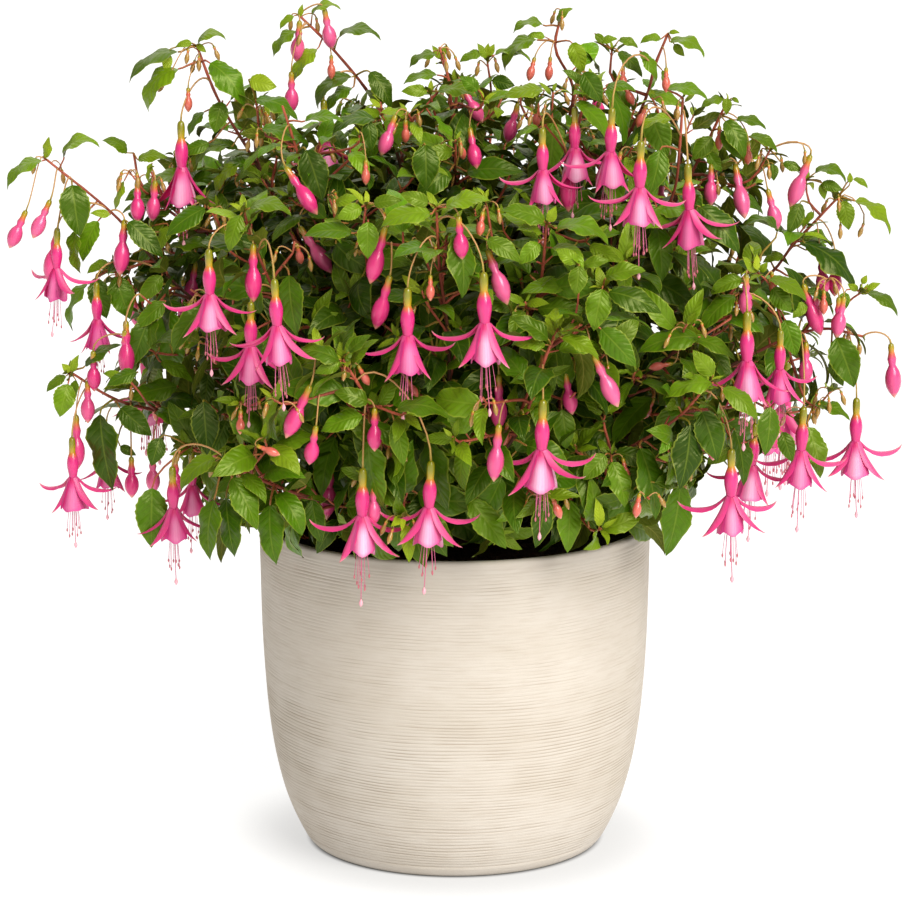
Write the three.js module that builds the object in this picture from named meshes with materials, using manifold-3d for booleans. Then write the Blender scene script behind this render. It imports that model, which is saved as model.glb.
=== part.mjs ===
// Potted fuchsia: a planter of soil, with a woody crown whose shoots carry leaves and hanging flowers.
// Millimetres, +Z up. The origin is the middle of the planter's base, on the surface that it stands on.
import * as THREE from "three";
import { mergeVertices } from "three/addons/utils/BufferGeometryUtils.js";
import Module from "manifold-3d";

const wasm = await Module();
wasm.setup();

// Gaps between neighbours
const GAP = 0.3;
const SOIL_GAP = 0.4;
const LEAF_CLEARANCE = 0.6;

// Planter: its radius swells from the foot towards the rim, quickly at first
const POT_HEIGHT = 218;
const POT_RIM_RADIUS = 130;
const POT_FOOT_RADIUS = 97.5;
const POT_SWELL = 4.283;
const POT_WALL = 6;
const POT_FLOOR = 9;
const POT_SIDES = 32;
const FOOT_ROUNDING = 8;
const FOOT_STEPS = 2;
const RIM_ROUNDING = 2;
const WALL_LEVELS = [28, 52, 90, 145];

// Soil and woody crown
const SOIL_EDGE_HEIGHT = 203;
const SOIL_MIDDLE_HEIGHT = 207;
const SOIL_SHOULDER_RADIUS = 70;
const CROWN_RADIUS = 30;
const CROWN_TOP = 226;
const CROWN_BOTTOM = 176;
const CROWN_SIDES = 16;
// Share of the crown's radius at each height
const CROWN_GIRTHS = [
  [0.5, CROWN_BOTTOM],
  [0.9, 190],
  [1, SOIL_MIDDLE_HEIGHT],
  [0.85, 217],
  [0.5, 223],
];

// Stems
const STEM_THICK = 2.7;
const STEM_THIN = 1.2;
const STEM_SIDES = 4;
const STEM_STEPS = 8;
const STEM_SEAT_DEPTH = 4;
const STEM_FIRST_RUN = 26;
const STEM_FIRST_RISE = 12;

// Leaves, the youngest pair at the tip being the smallest
const TIP_LEAF_LENGTH = 30;
const LEAF_LENGTH_STEP = 5;
const LEAF_WIDTH_SHARE = 0.52;
const LEAF_THICK = 1;
const LEAF_STALK_WIDTH = 2;
const LEAFY_SHARE = 0.5;
const LAST_LEAF_SHARE = 0.985;
const LEAF_LEAN_FORWARD = 0.45;
const LEAF_TURNS_TO_TRY = [0, 0.3, -0.3, 0.6, -0.6, 0.9, -0.9, 1.2, -1.2, 1.5];

// Flowers: radii, and heights above and below the middle of the ovary
const STALK_RADIUS = 0.8;
const STALK_SIDES = 3;
const STALK_STEPS = 4;
const STALK_OUT_SHARE = 0.35;
const STALK_RISE_SHARE = 0.3;
const STALK_DROP_SHARE = 0.4;
const FLOWER_SIDES = 5;
const OVARY_TOP = 5.5;
const STALK_SINK = 1.5;
const CALYX_MOUTH = -25;
const SKIRT_HEM = -49;
const STYLE_TIP = -79.5;
const BLOOM_PROFILE = [
  [0, STYLE_TIP],
  [1.5, SKIRT_HEM + 6],
  [12.5, SKIRT_HEM],
  [4, CALYX_MOUTH],
  [5, -14],
  [2.5, -3],
  [0, OVARY_TOP],
];
const SEPAL_ROOT = 2;
const SEPAL_LENGTH = 30;
const SEPAL_WIDTH = 9;
const SEPAL_THICK = 1.4;
const SEPAL_TURNS_TO_TRY = [0.15, 0.35, 0, 0.6, 0.785, 1, 1.2, 1.4];

// Each place is given as seen by an eye in front of the plant: across and up on the upright plane through the
// planter's axis, and out, the distance from that plane towards the eye.
const EYE_DISTANCE = 2500;
const EYE_HEIGHT = 781;

// Stem routes after the crown, tip last, and how many pairs of leaves each stem carries
const SHOOTS = [
  { route: [[-90, 300, 20], [-181, 373, 40], [-222, 420, 55], [-266, 457, 62]], pairs: 5 },
  { route: [[-80, 320, 0], [-150, 395, 15], [-204, 440, 20], [-209, 461, 20]], pairs: 4 },
  { route: [[-70, 340, 20], [-131, 457, 30], [-154, 497, 35], [-167, 531, 40]], pairs: 5 },
  { route: [[-60, 290, 90], [-110, 355, 135], [-129, 395, 155], [-138, 423, 165]], pairs: 4 },
  { route: [[-20, 380, 0], [-46, 483, 10], [-79, 529, 20], [-101, 551, 25]], pairs: 5 },
  { route: [[0, 380, 20], [-4, 508, 35], [-10, 530, 40]], pairs: 5 },
  { route: [[30, 380, -10], [77, 500, 15], [65, 530, 20], [70, 554, 22]], pairs: 5 },
  { route: [[60, 360, 30], [124, 497, 75], [130, 519, 85], [138, 539, 90]], pairs: 5 },
  { route: [[80, 330, 50], [142, 433, 105], [146, 461, 115], [148, 497, 120]], pairs: 4 },
  { route: [[30, 330, 70], [70, 440, 110], [88, 512, 115]], pairs: 5 },
  { route: [[90, 340, 10], [150, 440, 35], [177, 495, 50]], pairs: 4 },
  { route: [[110, 300, 0], [209, 384, 30], [220, 399, 35], [250, 432, 45]], pairs: 5 },
  { route: [[110, 270, 40], [190, 325, 70], [240, 345, 70], [268, 340, 62]], pairs: 4 },
  { route: [[90, 280, 80], [165, 350, 130], [197, 389, 140]], pairs: 4 },
  { route: [[60, 240, 90], [122, 269, 150], [151, 289, 170], [168, 310, 178]], pairs: 4 },
  { route: [[-5, 280, 110], [-4, 336, 160], [-10, 386, 190], [-12, 425, 205]], pairs: 4 },
  { route: [[10, 240, 120], [42, 277, 180], [62, 332, 203], [68, 345, 206]], pairs: 4 },
  { route: [[-25, 235, 110], [-55, 283, 175], [-60, 301, 190], [-74, 325, 200]], pairs: 4 },
  { route: [[-70, 225, 90], [-120, 240, 140], [-153, 256, 165]], pairs: 4 },
  { route: [[-100, 250, 30], [-180, 285, 60], [-224, 298, 72], [-253, 316, 80]], pairs: 4 },
  { route: [[-50, 330, 50], [-95, 440, 90], [-112, 492, 105]], pairs: 4 },
  { route: [[25, 300, 100], [55, 370, 165], [60, 415, 185]], pairs: 4 },
  { route: [[-80, 260, -50], [-150, 330, -110], [-190, 350, -140]], pairs: 3 },
  { route: [[-40, 330, -60], [-90, 430, -120], [-110, 460, -150]], pairs: 3 },
  { route: [[10, 350, -70], [20, 450, -120], [25, 480, -150]], pairs: 3 },
  { route: [[60, 320, -60], [120, 420, -120], [150, 450, -150]], pairs: 3 },
  { route: [[80, 260, -50], [170, 320, -110], [215, 340, -140]], pairs: 3 },
  { route: [[-20, 250, -90], [-50, 290, -180], [-60, 290, -220]], pairs: 3 },
  { route: [[40, 250, -90], [80, 280, -180], [95, 285, -220]], pairs: 3 },
];

// The crown carries the stems in rings: the steepest at its top, and the flattest round its lower edge
const SEAT_RINGS = [
  { stems: 4, steepness: 72 },
  { stems: 10, steepness: 45 },
  { stems: 15, steepness: 18 },
];

// Flowers: where the middle of the ovary hangs, the shoot that carries it and the share of that stem's length
const FLOWERS = [
  { ovary: [-260, 406, 70], shoot: 1, along: 0.86 },
  { ovary: [-235, 371, 60], shoot: 1, along: 0.7 },
  { ovary: [-178, 476, 50], shoot: 3, along: 0.93 },
  { ovary: [-107, 447, 125], shoot: 21, along: 0.95 },
  { ovary: [-85, 491, 25], shoot: 5, along: 0.85 },
  { ovary: [-161, 392, 182], shoot: 4, along: 0.96 },
  { ovary: [-134, 357, 170], shoot: 4, along: 0.8 },
  { ovary: [-118, 372, 218], shoot: 4, along: 0.9 },
  { ovary: [-31, 366, 210], shoot: 16, along: 0.93 },
  { ovary: [19, 376, 225], shoot: 16, along: 0.97 },
  { ovary: [58, 291, 215], shoot: 17, along: 0.9 },
  { ovary: [57, 472, 165], shoot: 10, along: 0.84 },
  { ovary: [78, 486, 125], shoot: 10, along: 0.97 },
  { ovary: [102, 485, 150], shoot: 8, along: 0.93 },
  { ovary: [121, 463, 190], shoot: 9, along: 0.93 },
  { ovary: [152, 448, 150], shoot: 9, along: 0.97 },
  { ovary: [-61, 245, 185], shoot: 18, along: 0.85 },
  { ovary: [-16, 250, 195], shoot: 18, along: 0.93 },
  { ovary: [-253, 267, 90], shoot: 20, along: 0.93 },
  { ovary: [-230, 277, 45], shoot: 20, along: 0.8 },
  { ovary: [-187, 247, 130], shoot: 19, along: 0.97 },
  { ovary: [-174, 260, 80], shoot: 20, along: 0.65 },
  { ovary: [192, 350, 165], shoot: 14, along: 0.95 },
  { ovary: [214, 339, 140], shoot: 14, along: 0.9 },
  { ovary: [198, 276, 95], shoot: 13, along: 0.72 },
  { ovary: [230, 287, 110], shoot: 13, along: 0.85 },
  { ovary: [265, 293, 60], shoot: 13, along: 0.95 },
  { ovary: [183, 258, 160], shoot: 15, along: 0.95 },
];

const COLOURS = {
  planter: { color: 0xd9cdb9, roughness: 0.85 },
  soil: { color: 0x3a2c22, roughness: 0.98 },
  wood: { color: 0x6b4630, roughness: 0.85 },
  shoot: { color: 0x3f7a34, roughness: 0.55 },
  flower: { color: 0xe0307c, roughness: 0.5 },
};

const UP = new THREE.Vector3(0, 0, 1);
const CROWN_MIDDLE = new THREE.Vector3(0, 0, SOIL_MIDDLE_HEIGHT);

function seenAt([across, up, out]) {
  const nearer = (EYE_DISTANCE - out) / EYE_DISTANCE;
  return new THREE.Vector3(across * nearer, -out, EYE_HEIGHT + (up - EYE_HEIGHT) * nearer);
}

// Solids

function solidOf(geometry) {
  const bare = geometry.clone();
  bare.deleteAttribute("normal");
  bare.deleteAttribute("uv");
  const merged = mergeVertices(bare, 1e-4);
  return new wasm.Manifold(new wasm.Mesh({
    numProp: 3,
    vertProperties: merged.attributes.position.array,
    triVerts: Uint32Array.from(merged.index.array),
  }));
}

function geometryOf(solid) {
  const mesh = solid.getMesh();
  const geometry = new THREE.BufferGeometry();
  geometry.setAttribute("position", new THREE.BufferAttribute(mesh.vertProperties, 3));
  geometry.setIndex(new THREE.BufferAttribute(mesh.triVerts, 1));
  geometry.computeVertexNormals();
  return geometry;
}

// The largest body of a boolean's result, without the crumbs and pinholes that thin blades can leave
function oneBody(solid) {
  return solid.decompose().reduce((best, body) => (body.volume() > best.volume() ? body : best));
}

// A body turned about Z from [radius, height] points, listed upwards on the outside
function turned(profile, sides) {
  const points = profile.map(([radius, height]) => new THREE.Vector2(radius, height));
  return new THREE.LatheGeometry(points, sides).rotateX(Math.PI / 2);
}

function polygon(radius, sides) {
  const points = [];
  for (let i = 0; i < sides; i++) {
    const angle = (i * 2 * Math.PI) / sides;
    points.push(new THREE.Vector2(radius * Math.cos(angle), radius * Math.sin(angle)));
  }
  return new THREE.Shape(points);
}

// A stem along a curve, thinning evenly from its start to its end
function taperedTube(curve, startRadius, endRadius, sides, steps) {
  const tube = new THREE.ExtrudeGeometry(polygon(startRadius, sides), { steps, extrudePath: curve });
  const centres = curve.getSpacedPoints(steps);
  const positions = tube.attributes.position;
  const vertex = new THREE.Vector3();
  for (let i = 0; i < positions.count; i++) {
    vertex.fromBufferAttribute(positions, i);
    const distances = centres.map((centre) => centre.distanceTo(vertex));
    const ring = distances.indexOf(Math.min(...distances));
    const share = THREE.MathUtils.lerp(1, endRadius / startRadius, ring / steps);
    vertex.sub(centres[ring]).multiplyScalar(share).add(centres[ring]);
    positions.setXYZ(i, vertex.x, vertex.y, vertex.z);
  }
  return solidOf(tube);
}

// Planter

function potRadius(height) {
  return POT_RIM_RADIUS - (POT_RIM_RADIUS - POT_FOOT_RADIUS) * Math.exp((-POT_SWELL * height) / POT_HEIGHT);
}

function wallRadius(height) {
  return potRadius(height) - POT_WALL;
}

function planterGeometry() {
  const rimShoulder = POT_HEIGHT - RIM_ROUNDING;
  const footMiddle = potRadius(FOOT_ROUNDING) - FOOT_ROUNDING;
  const foot = [[0, 0]];
  for (let step = 0; step <= FOOT_STEPS; step++) {
    const angle = (step / FOOT_STEPS) * (Math.PI / 2);
    foot.push([footMiddle + FOOT_ROUNDING * Math.sin(angle), FOOT_ROUNDING * (1 - Math.cos(angle))]);
  }
  const outside = [...WALL_LEVELS, rimShoulder].map((height) => [potRadius(height), height]);
  const rim = [
    [potRadius(POT_HEIGHT) - RIM_ROUNDING, POT_HEIGHT],
    [wallRadius(POT_HEIGHT) + RIM_ROUNDING, POT_HEIGHT],
  ];
  const inside = [POT_FLOOR, ...WALL_LEVELS, rimShoulder].map((height) => [wallRadius(height), height]);
  return turned([...foot, ...outside, ...rim, ...inside.reverse(), [0, POT_FLOOR]], POT_SIDES);
}

// Woody crown, old wood at soil level with the stump of the main root. grown makes it that much larger.

function crownProfile(grown) {
  const girths = CROWN_GIRTHS.map(([share, height]) => {
    const shift = THREE.MathUtils.clamp(height - SOIL_MIDDLE_HEIGHT, -grown, grown);
    return [share * CROWN_RADIUS + grown, height + shift];
  });
  return [[0, CROWN_BOTTOM - grown], ...girths, [0, CROWN_TOP + grown]];
}

// Soil and fine roots, filling the planter to a little below its rim, with a socket for the crown

function soilGeometry() {
  const floor = POT_FLOOR + SOIL_GAP;
  const levels = [floor, ...WALL_LEVELS, SOIL_EDGE_HEIGHT];
  const outside = levels.map((height) => [wallRadius(height) - SOIL_GAP, height]);
  const crownSocket = crownProfile(SOIL_GAP).filter(([, height]) => height <= SOIL_MIDDLE_HEIGHT).reverse();
  return turned([
    [0, floor],
    ...outside,
    [SOIL_SHOULDER_RADIUS, SOIL_MIDDLE_HEIGHT],
    ...crownSocket,
  ], POT_SIDES);
}

// Stems

// The direction in which each stem leaves the crown, spread evenly round its ring in the order of the tips
function seatDirections(tips) {
  const order = tips.map((tip, index) => ({
    index,
    azimuth: Math.atan2(tip.y, tip.x),
    rise: (tip.z - CROWN_MIDDLE.z) / Math.hypot(tip.x, tip.y),
  }));
  order.sort((a, b) => b.rise - a.rise);
  const directions = [];
  for (const ring of SEAT_RINGS) {
    const members = order.splice(0, ring.stems).sort((a, b) => a.azimuth - b.azimuth);
    const pitch = (2 * Math.PI) / members.length;
    const lead = members.reduce((sum, member, i) => sum + member.azimuth - i * pitch, 0) / members.length;
    members.forEach((member, i) => {
      const fromTop = THREE.MathUtils.degToRad(90 - ring.steepness);
      const direction = new THREE.Vector3(Math.sin(fromTop), 0, Math.cos(fromTop));
      directions[member.index] = direction.applyAxisAngle(UP, lead + i * pitch);
    });
  }
  return directions;
}

function stemCurves() {
  const routes = SHOOTS.map((shoot) => shoot.route.map(seenAt));
  const directions = seatDirections(routes.map((route) => route.at(-1)));
  const seatRadius = CROWN_RADIUS - STEM_SEAT_DEPTH;
  const seatHeight = CROWN_TOP - SOIL_MIDDLE_HEIGHT - STEM_SEAT_DEPTH;
  return routes.map((route, i) => {
    const start = directions[i].clone();
    start.multiply(new THREE.Vector3(seatRadius, seatRadius, seatHeight)).add(CROWN_MIDDLE);
    const next = start.clone().addScaledVector(directions[i], STEM_FIRST_RUN);
    next.z += STEM_FIRST_RISE;
    return new THREE.CatmullRomCurve3([start, next, ...route], false, "centripetal");
  });
}

// A point on the straight pieces that a stem is made of
function pointOnStem(curve, share) {
  const centres = curve.getSpacedPoints(STEM_STEPS);
  const place = share * STEM_STEPS;
  const before = Math.min(Math.floor(place), STEM_STEPS - 1);
  return centres[before].lerp(centres[before + 1], place - before);
}

// Leaves: each opposite pair is one thin V of two blades through the stem, a quarter round from the last pair

function leafPairSolid(base, side, forward, length) {
  const along = new THREE.Vector2(1, LEAF_LEAN_FORWARD).normalize();
  const across = new THREE.Vector2(-along.y, along.x).multiplyScalar((length * LEAF_WIDTH_SHARE) / 2);
  const middle = along.clone().multiplyScalar(length / 2);
  const tip = along.clone().multiplyScalar(length);
  const right = [middle.clone().sub(across), tip, middle.clone().add(across)];
  const left = right.map((point) => new THREE.Vector2(-point.x, point.y)).reverse();
  const waist = new THREE.Vector2(0, LEAF_STALK_WIDTH / 2);
  const outline = new THREE.Shape([waist.clone().negate(), ...right, waist, ...left]);
  const blades = new THREE.ExtrudeGeometry(outline, { depth: LEAF_THICK, bevelEnabled: false });
  blades.translate(0, 0, -LEAF_THICK / 2);
  const face = new THREE.Vector3().crossVectors(side, forward);
  blades.applyMatrix4(new THREE.Matrix4().makeBasis(side, forward, face).setPosition(base));
  return solidOf(blades);
}

function withBox(solid) {
  return { solid, box: solid.boundingBox() };
}

function isClear(solid, others) {
  const box = solid.boundingBox();
  return others.every((other) => {
    const gaps = [0, 1, 2].map((axis) =>
      Math.max(other.box.min[axis] - box.max[axis], box.min[axis] - other.box.max[axis]));
    const apart = Math.max(...gaps) > LEAF_CLEARANCE;
    return apart || solid.minGap(other.solid, LEAF_CLEARANCE) > LEAF_CLEARANCE - 1e-3;
  });
}

// The pairs of one stem, each turned a little round the stem where it would touch something else
function leavesOf(curve, pairs, obstacles) {
  const leaves = [];
  for (let pair = 0; pair < pairs; pair++) {
    const share = Math.min(1 - (pair * LEAFY_SHARE) / pairs, LAST_LEAF_SHARE);
    const base = pointOnStem(curve, share);
    const tangent = curve.getTangentAt(share);
    const level = new THREE.Vector3().crossVectors(tangent, UP).normalize();
    const length = TIP_LEAF_LENGTH + LEAF_LENGTH_STEP * pair;
    const tries = LEAF_TURNS_TO_TRY.map((turn) => {
      const side = level.clone().applyAxisAngle(tangent, turn + (pair * Math.PI) / 2);
      return leafPairSolid(base, side, tangent, length);
    });
    const blades = tries.find((solid) => isClear(solid, obstacles));
    if (blades) leaves.push(blades);
  }
  return leaves;
}

// Flowers: an arching stalk, then ovary, tube, skirt of petals and style in one turned body, and four sepals

function stalkCurve(start, end) {
  const reach = start.distanceTo(end);
  const outwards = new THREE.Vector3(end.x - start.x, end.y - start.y, 0);
  const rise = start.clone().addScaledVector(outwards, STALK_OUT_SHARE);
  rise.z += reach * STALK_RISE_SHARE;
  const above = end.clone().addScaledVector(UP, reach * STALK_DROP_SHARE);
  return new THREE.CubicBezierCurve3(start, rise, above, end);
}

function sepalSolid(ovary, turn) {
  const blade = new THREE.OctahedronGeometry(0.5);
  blade.scale(SEPAL_LENGTH, SEPAL_WIDTH, SEPAL_THICK);
  blade.translate(SEPAL_ROOT + SEPAL_LENGTH / 2, 0, CALYX_MOUTH + 1);
  blade.rotateZ(turn);
  blade.translate(ovary.x, ovary.y, ovary.z);
  return solidOf(blade);
}

function calyxSolid(ovary, obstacles) {
  const tries = SEPAL_TURNS_TO_TRY.map((turn) =>
    [0, 1, 2, 3].map((quarter) => sepalSolid(ovary, turn + (quarter * Math.PI) / 2)));
  const sepals = tries.find((set) => set.every((sepal) => isClear(sepal, obstacles)));
  return wasm.Manifold.union(sepals);
}

function flowerSolid(flower, curves, grownStems, obstacles) {
  const ovary = seenAt(flower.ovary);
  const start = pointOnStem(curves[flower.shoot - 1], flower.along);
  const end = ovary.clone().addScaledVector(UP, OVARY_TOP - STALK_SINK);
  const stalk = taperedTube(stalkCurve(start, end), STALK_RADIUS, STALK_RADIUS, STALK_SIDES, STALK_STEPS);
  const bloom = solidOf(turned(BLOOM_PROFILE, FLOWER_SIDES).translate(ovary.x, ovary.y, ovary.z));
  const whole = wasm.Manifold.union([bloom, stalk, calyxSolid(ovary, obstacles)]);
  return oneBody(whole.subtract(grownStems[flower.shoot - 1]));
}

// Assembly

const planter = solidOf(planterGeometry());
const soil = solidOf(soilGeometry());
const crown = solidOf(turned(crownProfile(0), CROWN_SIDES));
const grownCrown = solidOf(turned(crownProfile(GAP), CROWN_SIDES));

const curves = stemCurves();
const stems = curves.map((curve) =>
  taperedTube(curve, STEM_THICK, STEM_THIN, STEM_SIDES, STEM_STEPS).subtract(grownCrown));
const grownStems = curves.map((curve) =>
  taperedTube(curve, STEM_THICK + GAP, STEM_THIN + GAP, STEM_SIDES, STEM_STEPS));

const placed = [planter, soil, crown, ...stems].map(withBox);

const flowers = FLOWERS.map((flower) => {
  const solid = flowerSolid(flower, curves, grownStems, placed);
  placed.push(withBox(solid));
  return solid;
});

const shoots = SHOOTS.map((shoot, i) => {
  const others = placed.filter((item) => item.solid !== stems[i]);
  const leaves = leavesOf(curves[i], shoot.pairs, others);
  placed.push(...leaves.map(withBox));
  return oneBody(wasm.Manifold.union([stems[i], ...leaves]));
});

const plant = new THREE.Group();

function addPiece(name, solid, look) {
  const material = new THREE.MeshStandardMaterial({ metalness: 0, flatShading: true, ...look });
  const mesh = new THREE.Mesh(geometryOf(solid), material);
  mesh.name = name;
  plant.add(mesh);
}

function addNumbered(name, solids, look) {
  solids.forEach((solid, i) => addPiece(`${name}_${String(i + 1).padStart(2, "0")}`, solid, look));
}

addPiece("planter", planter, COLOURS.planter);
addPiece("potting_soil", soil, COLOURS.soil);
addPiece("woody_crown", crown, COLOURS.wood);
addNumbered("shoot", shoots, COLOURS.shoot);
addNumbered("flower", flowers, COLOURS.flower);

export default plant;
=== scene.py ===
"""Potted fuchsia: the looks of the plant and its planter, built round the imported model.

Metres, +Z up. The origin is the middle of the planter's base, and the photographed side looks towards -Y.
"""

import functools
import math
from dataclasses import dataclass

import bpy
import numpy as np
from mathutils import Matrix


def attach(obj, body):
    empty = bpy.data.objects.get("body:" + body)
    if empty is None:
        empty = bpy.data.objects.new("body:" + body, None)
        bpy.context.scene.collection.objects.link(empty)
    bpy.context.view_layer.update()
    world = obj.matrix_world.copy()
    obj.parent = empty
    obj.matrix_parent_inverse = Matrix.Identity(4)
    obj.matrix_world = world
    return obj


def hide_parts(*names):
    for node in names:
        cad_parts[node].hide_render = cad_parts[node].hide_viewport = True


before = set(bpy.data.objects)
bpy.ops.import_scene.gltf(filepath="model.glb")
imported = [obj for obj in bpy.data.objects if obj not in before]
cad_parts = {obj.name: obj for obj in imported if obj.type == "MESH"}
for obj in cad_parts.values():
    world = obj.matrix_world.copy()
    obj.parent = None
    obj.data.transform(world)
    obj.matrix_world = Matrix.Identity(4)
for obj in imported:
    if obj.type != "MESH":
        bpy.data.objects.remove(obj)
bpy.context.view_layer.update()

MM = 0.001
UP = np.array([0.0, 0.0, 1.0])

# Seeds of the random draws, so that every run gives the same plant. A flower or a shoot adds its number.
SEEDS = {
    "ribs": 5, "crumbs": 21, "twigs": 41, "shown leaves": 15, "buds": 61, "back flowers": 77,
    "flower": 500, "shoot": 900,
}

# Camera: it looks down a little on the plant, from far off
CAMERA_PLACE = (-0.0005, -2.5, 0.781)
CAMERA_PITCH_DEG = 11.69
CAMERA_LENS = 153.05
CAMERA_SENSOR = 36.0
FRAME_WIDTH = 908
FRAME_HEIGHT = 900

# Lights: a warm sky and broad far suns, each with its name, its azimuth to the right of the camera, its
# elevation, its strength and its spread, in degrees
SKY_COLOUR = (1, 0.93, 0.76)
SKY_STRENGTH = 0.34
SUN_COLOUR = (1, 0.98, 0.94)
SUNS = [("key", 34, 36, 3.3, 38), ("low_fill", 12, 5, 0.45, 60), ("back_fill", 190, 48, 0.9, 60)]

# Floor: half its side in metres, its grey, and two rings of painted shade round the foot, where its glow is
# dimmed. Each has the distances from the planter's axis where its painted shade starts and stops to fade, and
# the glow at both.
FLOOR_HALF = 12.0
FLOOR_GREY = 0.25
FOOT_SHADE = (0.0945, 0.101, 0.02, 1)
WIDE_SHADE = (0.1, 0.17, 0.6, 0.89)

# Places in the tables below are across, up and out, in millimetres, as an eye in front of the plant sees
# them: across and up on the upright plane through the planter's axis, and out from it towards the eye.
EYE_DISTANCE = 2500
EYE_HEIGHT = 781

# Planter, in millimetres
POT_HEIGHT = 218
POT_RIM_RADIUS = 130
POT_FOOT_RADIUS = 97.5
POT_SWELL = 4.283
POT_WALL = 6
POT_FLOOR = 9
POT_FLOOR_RING = 60
POT_INSIDE_TOP = 208
POT_FOOT_ROUNDING = 8
POT_FOOT_FULLNESS = 0.4
POT_RIM_ROUNDING = 2.4
POT_SEGMENTS = 144

# Combed ribs, in millimetres, and how unlike each other their pitches and depths are
RIB_FIRST_HEIGHT = 8.5
RIB_LAST_HEIGHT = 211
RIB_PITCH = 2.2
RIB_PITCHES = (0.86, 1.16)
RIB_DEPTH = 0.45
RIB_DEPTHS = (0.6, 1.0)
# Where each row of a rib lies in its pitch, and how deep into the groove it is
RIB_ROWS = [(0.0, 1.0), (0.3, 0.0), (0.72, 0.0)]
# Waves round the wall: size, number round, turn for each millimetre of height, and start
LIFT_WAVES = [(0.5, 2, 0, 0.8), (0.32, 5, 0.03, 0), (0.16, 11, 0.2, 0)]
GROOVE_WAVES = [(1, 3, 0.045, 0), (1, 7, -0.08, 2), (1, 13, 0.17, 4), (1, 24, -0.11, 0)]
# Lumps on a surface, in millimetres: height, size across, and the seed of their noise
WALL_LUMPS = [(0.12, 40, 3)]
SOIL_LUMPS = [(1.6, 22, 11), (1.1, 9, 12), (0.6, 4, 13)]
CROWN_LUMPS = [(2.2, 26, 31), (1.1, 9, 32)]

# Soil and crown, in millimetres
SOIL_GAP = 0.4
SOIL_EDGE_HEIGHT = 203
SOIL_MIDDLE_HEIGHT = 207
SOIL_SEGMENTS = 90
CRUMBS = 170
CRUMB_SIZES = (0.9, 2.8)
CRUMB_HEIGHT = SOIL_EDGE_HEIGHT + 2.6
CROWN_RADIUS = 30
CROWN_TOP = 226
CROWN_BOTTOM = 176
CROWN_SEGMENTS = 56
CROWN_ROWS = 28
# Share of the crown's radius at each height
CROWN_GIRTHS = [
    (0.5, CROWN_BOTTOM), (0.9, 190), (1.0, SOIL_MIDDLE_HEIGHT), (0.85, 217), (0.5, 223), (0.12, CROWN_TOP),
]

# Main stems: their routes after the crown, tip last
SHOOT_ROUTES = [
    [(-90, 300, 20), (-181, 373, 40), (-222, 420, 55), (-266, 457, 62)],
    [(-80, 320, 0), (-150, 395, 15), (-204, 440, 20), (-209, 461, 20)],
    [(-70, 340, 20), (-131, 457, 30), (-154, 497, 35), (-167, 531, 40)],
    [(-60, 290, 90), (-110, 355, 135), (-129, 395, 155), (-138, 423, 165)],
    [(-20, 380, 0), (-46, 483, 10), (-79, 529, 20), (-101, 551, 25)],
    [(0, 380, 20), (-4, 508, 35), (-10, 530, 40)],
    [(30, 380, -10), (77, 500, 15), (65, 530, 20), (70, 554, 22)],
    [(60, 360, 30), (124, 497, 75), (130, 519, 85), (138, 539, 90)],
    [(80, 330, 50), (142, 433, 105), (146, 461, 115), (148, 497, 120)],
    [(30, 330, 70), (70, 440, 110), (88, 512, 115)],
    [(90, 340, 10), (150, 440, 35), (177, 495, 50)],
    [(110, 300, 0), (209, 384, 30), (220, 399, 35), (250, 432, 45)],
    [(110, 270, 40), (190, 325, 70), (240, 345, 70), (268, 340, 62)],
    [(90, 280, 80), (165, 350, 130), (197, 389, 140)],
    [(60, 240, 90), (122, 269, 150), (151, 289, 170), (168, 310, 178)],
    [(-5, 280, 110), (-4, 336, 160), (-10, 386, 190), (-12, 425, 205)],
    [(10, 240, 120), (42, 277, 180), (62, 332, 203), (68, 345, 206)],
    [(-25, 235, 110), (-55, 283, 175), (-60, 301, 190), (-74, 325, 200)],
    [(-70, 225, 90), (-120, 240, 140), (-153, 256, 165)],
    [(-100, 250, 30), (-180, 285, 60), (-224, 298, 72), (-253, 316, 80)],
    [(-50, 330, 50), (-95, 440, 90), (-112, 492, 105)],
    [(25, 300, 100), (55, 370, 165), (60, 415, 185)],
    [(-80, 260, -50), (-150, 330, -110), (-190, 350, -140)],
    [(-40, 330, -60), (-90, 430, -120), (-110, 460, -150)],
    [(10, 350, -70), (20, 450, -120), (25, 480, -150)],
    [(60, 320, -60), (120, 420, -120), (150, 450, -150)],
    [(80, 260, -50), (170, 320, -110), (215, 340, -140)],
    [(-20, 250, -90), (-50, 290, -180), (-60, 290, -220)],
    [(40, 250, -90), (80, 280, -180), (95, 285, -220)],
]
# Side twigs that show, in pixels of the photograph's frame: a place on their way, their tip, and how many
# millimetres out it is
SEEN_TWIGS = [
    (220, 226, 205, 203, 70), (489, 100, 487, 58, 20), (750, 180, 770, 150, 60), (845, 305, 862, 292, 55),
    (366, 235, 366, 205, 185), (612, 480, 611, 455, 150), (574, 320, 580, 267, 190),
    (606, 310, 603, 288, 185), (489, 260, 486, 200, 190), (812, 408, 832, 390, 85), (437, 120, 430, 92, 60),
    (555, 130, 553, 92, 60), (660, 120, 652, 98, 90), (808, 200, 806, 180, 60), (165, 200, 150, 170, 40),
    (258, 130, 256, 100, 60), (735, 315, 700, 338, 145), (612, 80, 612, 50, 70), (487, 480, 478, 495, 165),
    (345, 400, 342, 360, 165), (385, 445, 376, 408, 185), (522, 408, 551, 343, 190),
    (745, 402, 714, 381, 150), (143, 190, 129, 171, 50), (451, 84, 441, 59, 15), (770, 285, 757, 272, 100),
]
# Shoots whose tips carry only leaves of the table of seen leaves, and how long that tip is
OPEN_SHOOTS = (1, 2, 3, 5, 6, 7, 8, 9, 11, 12, 13, 20)
OPEN_TIP = 42
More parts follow.
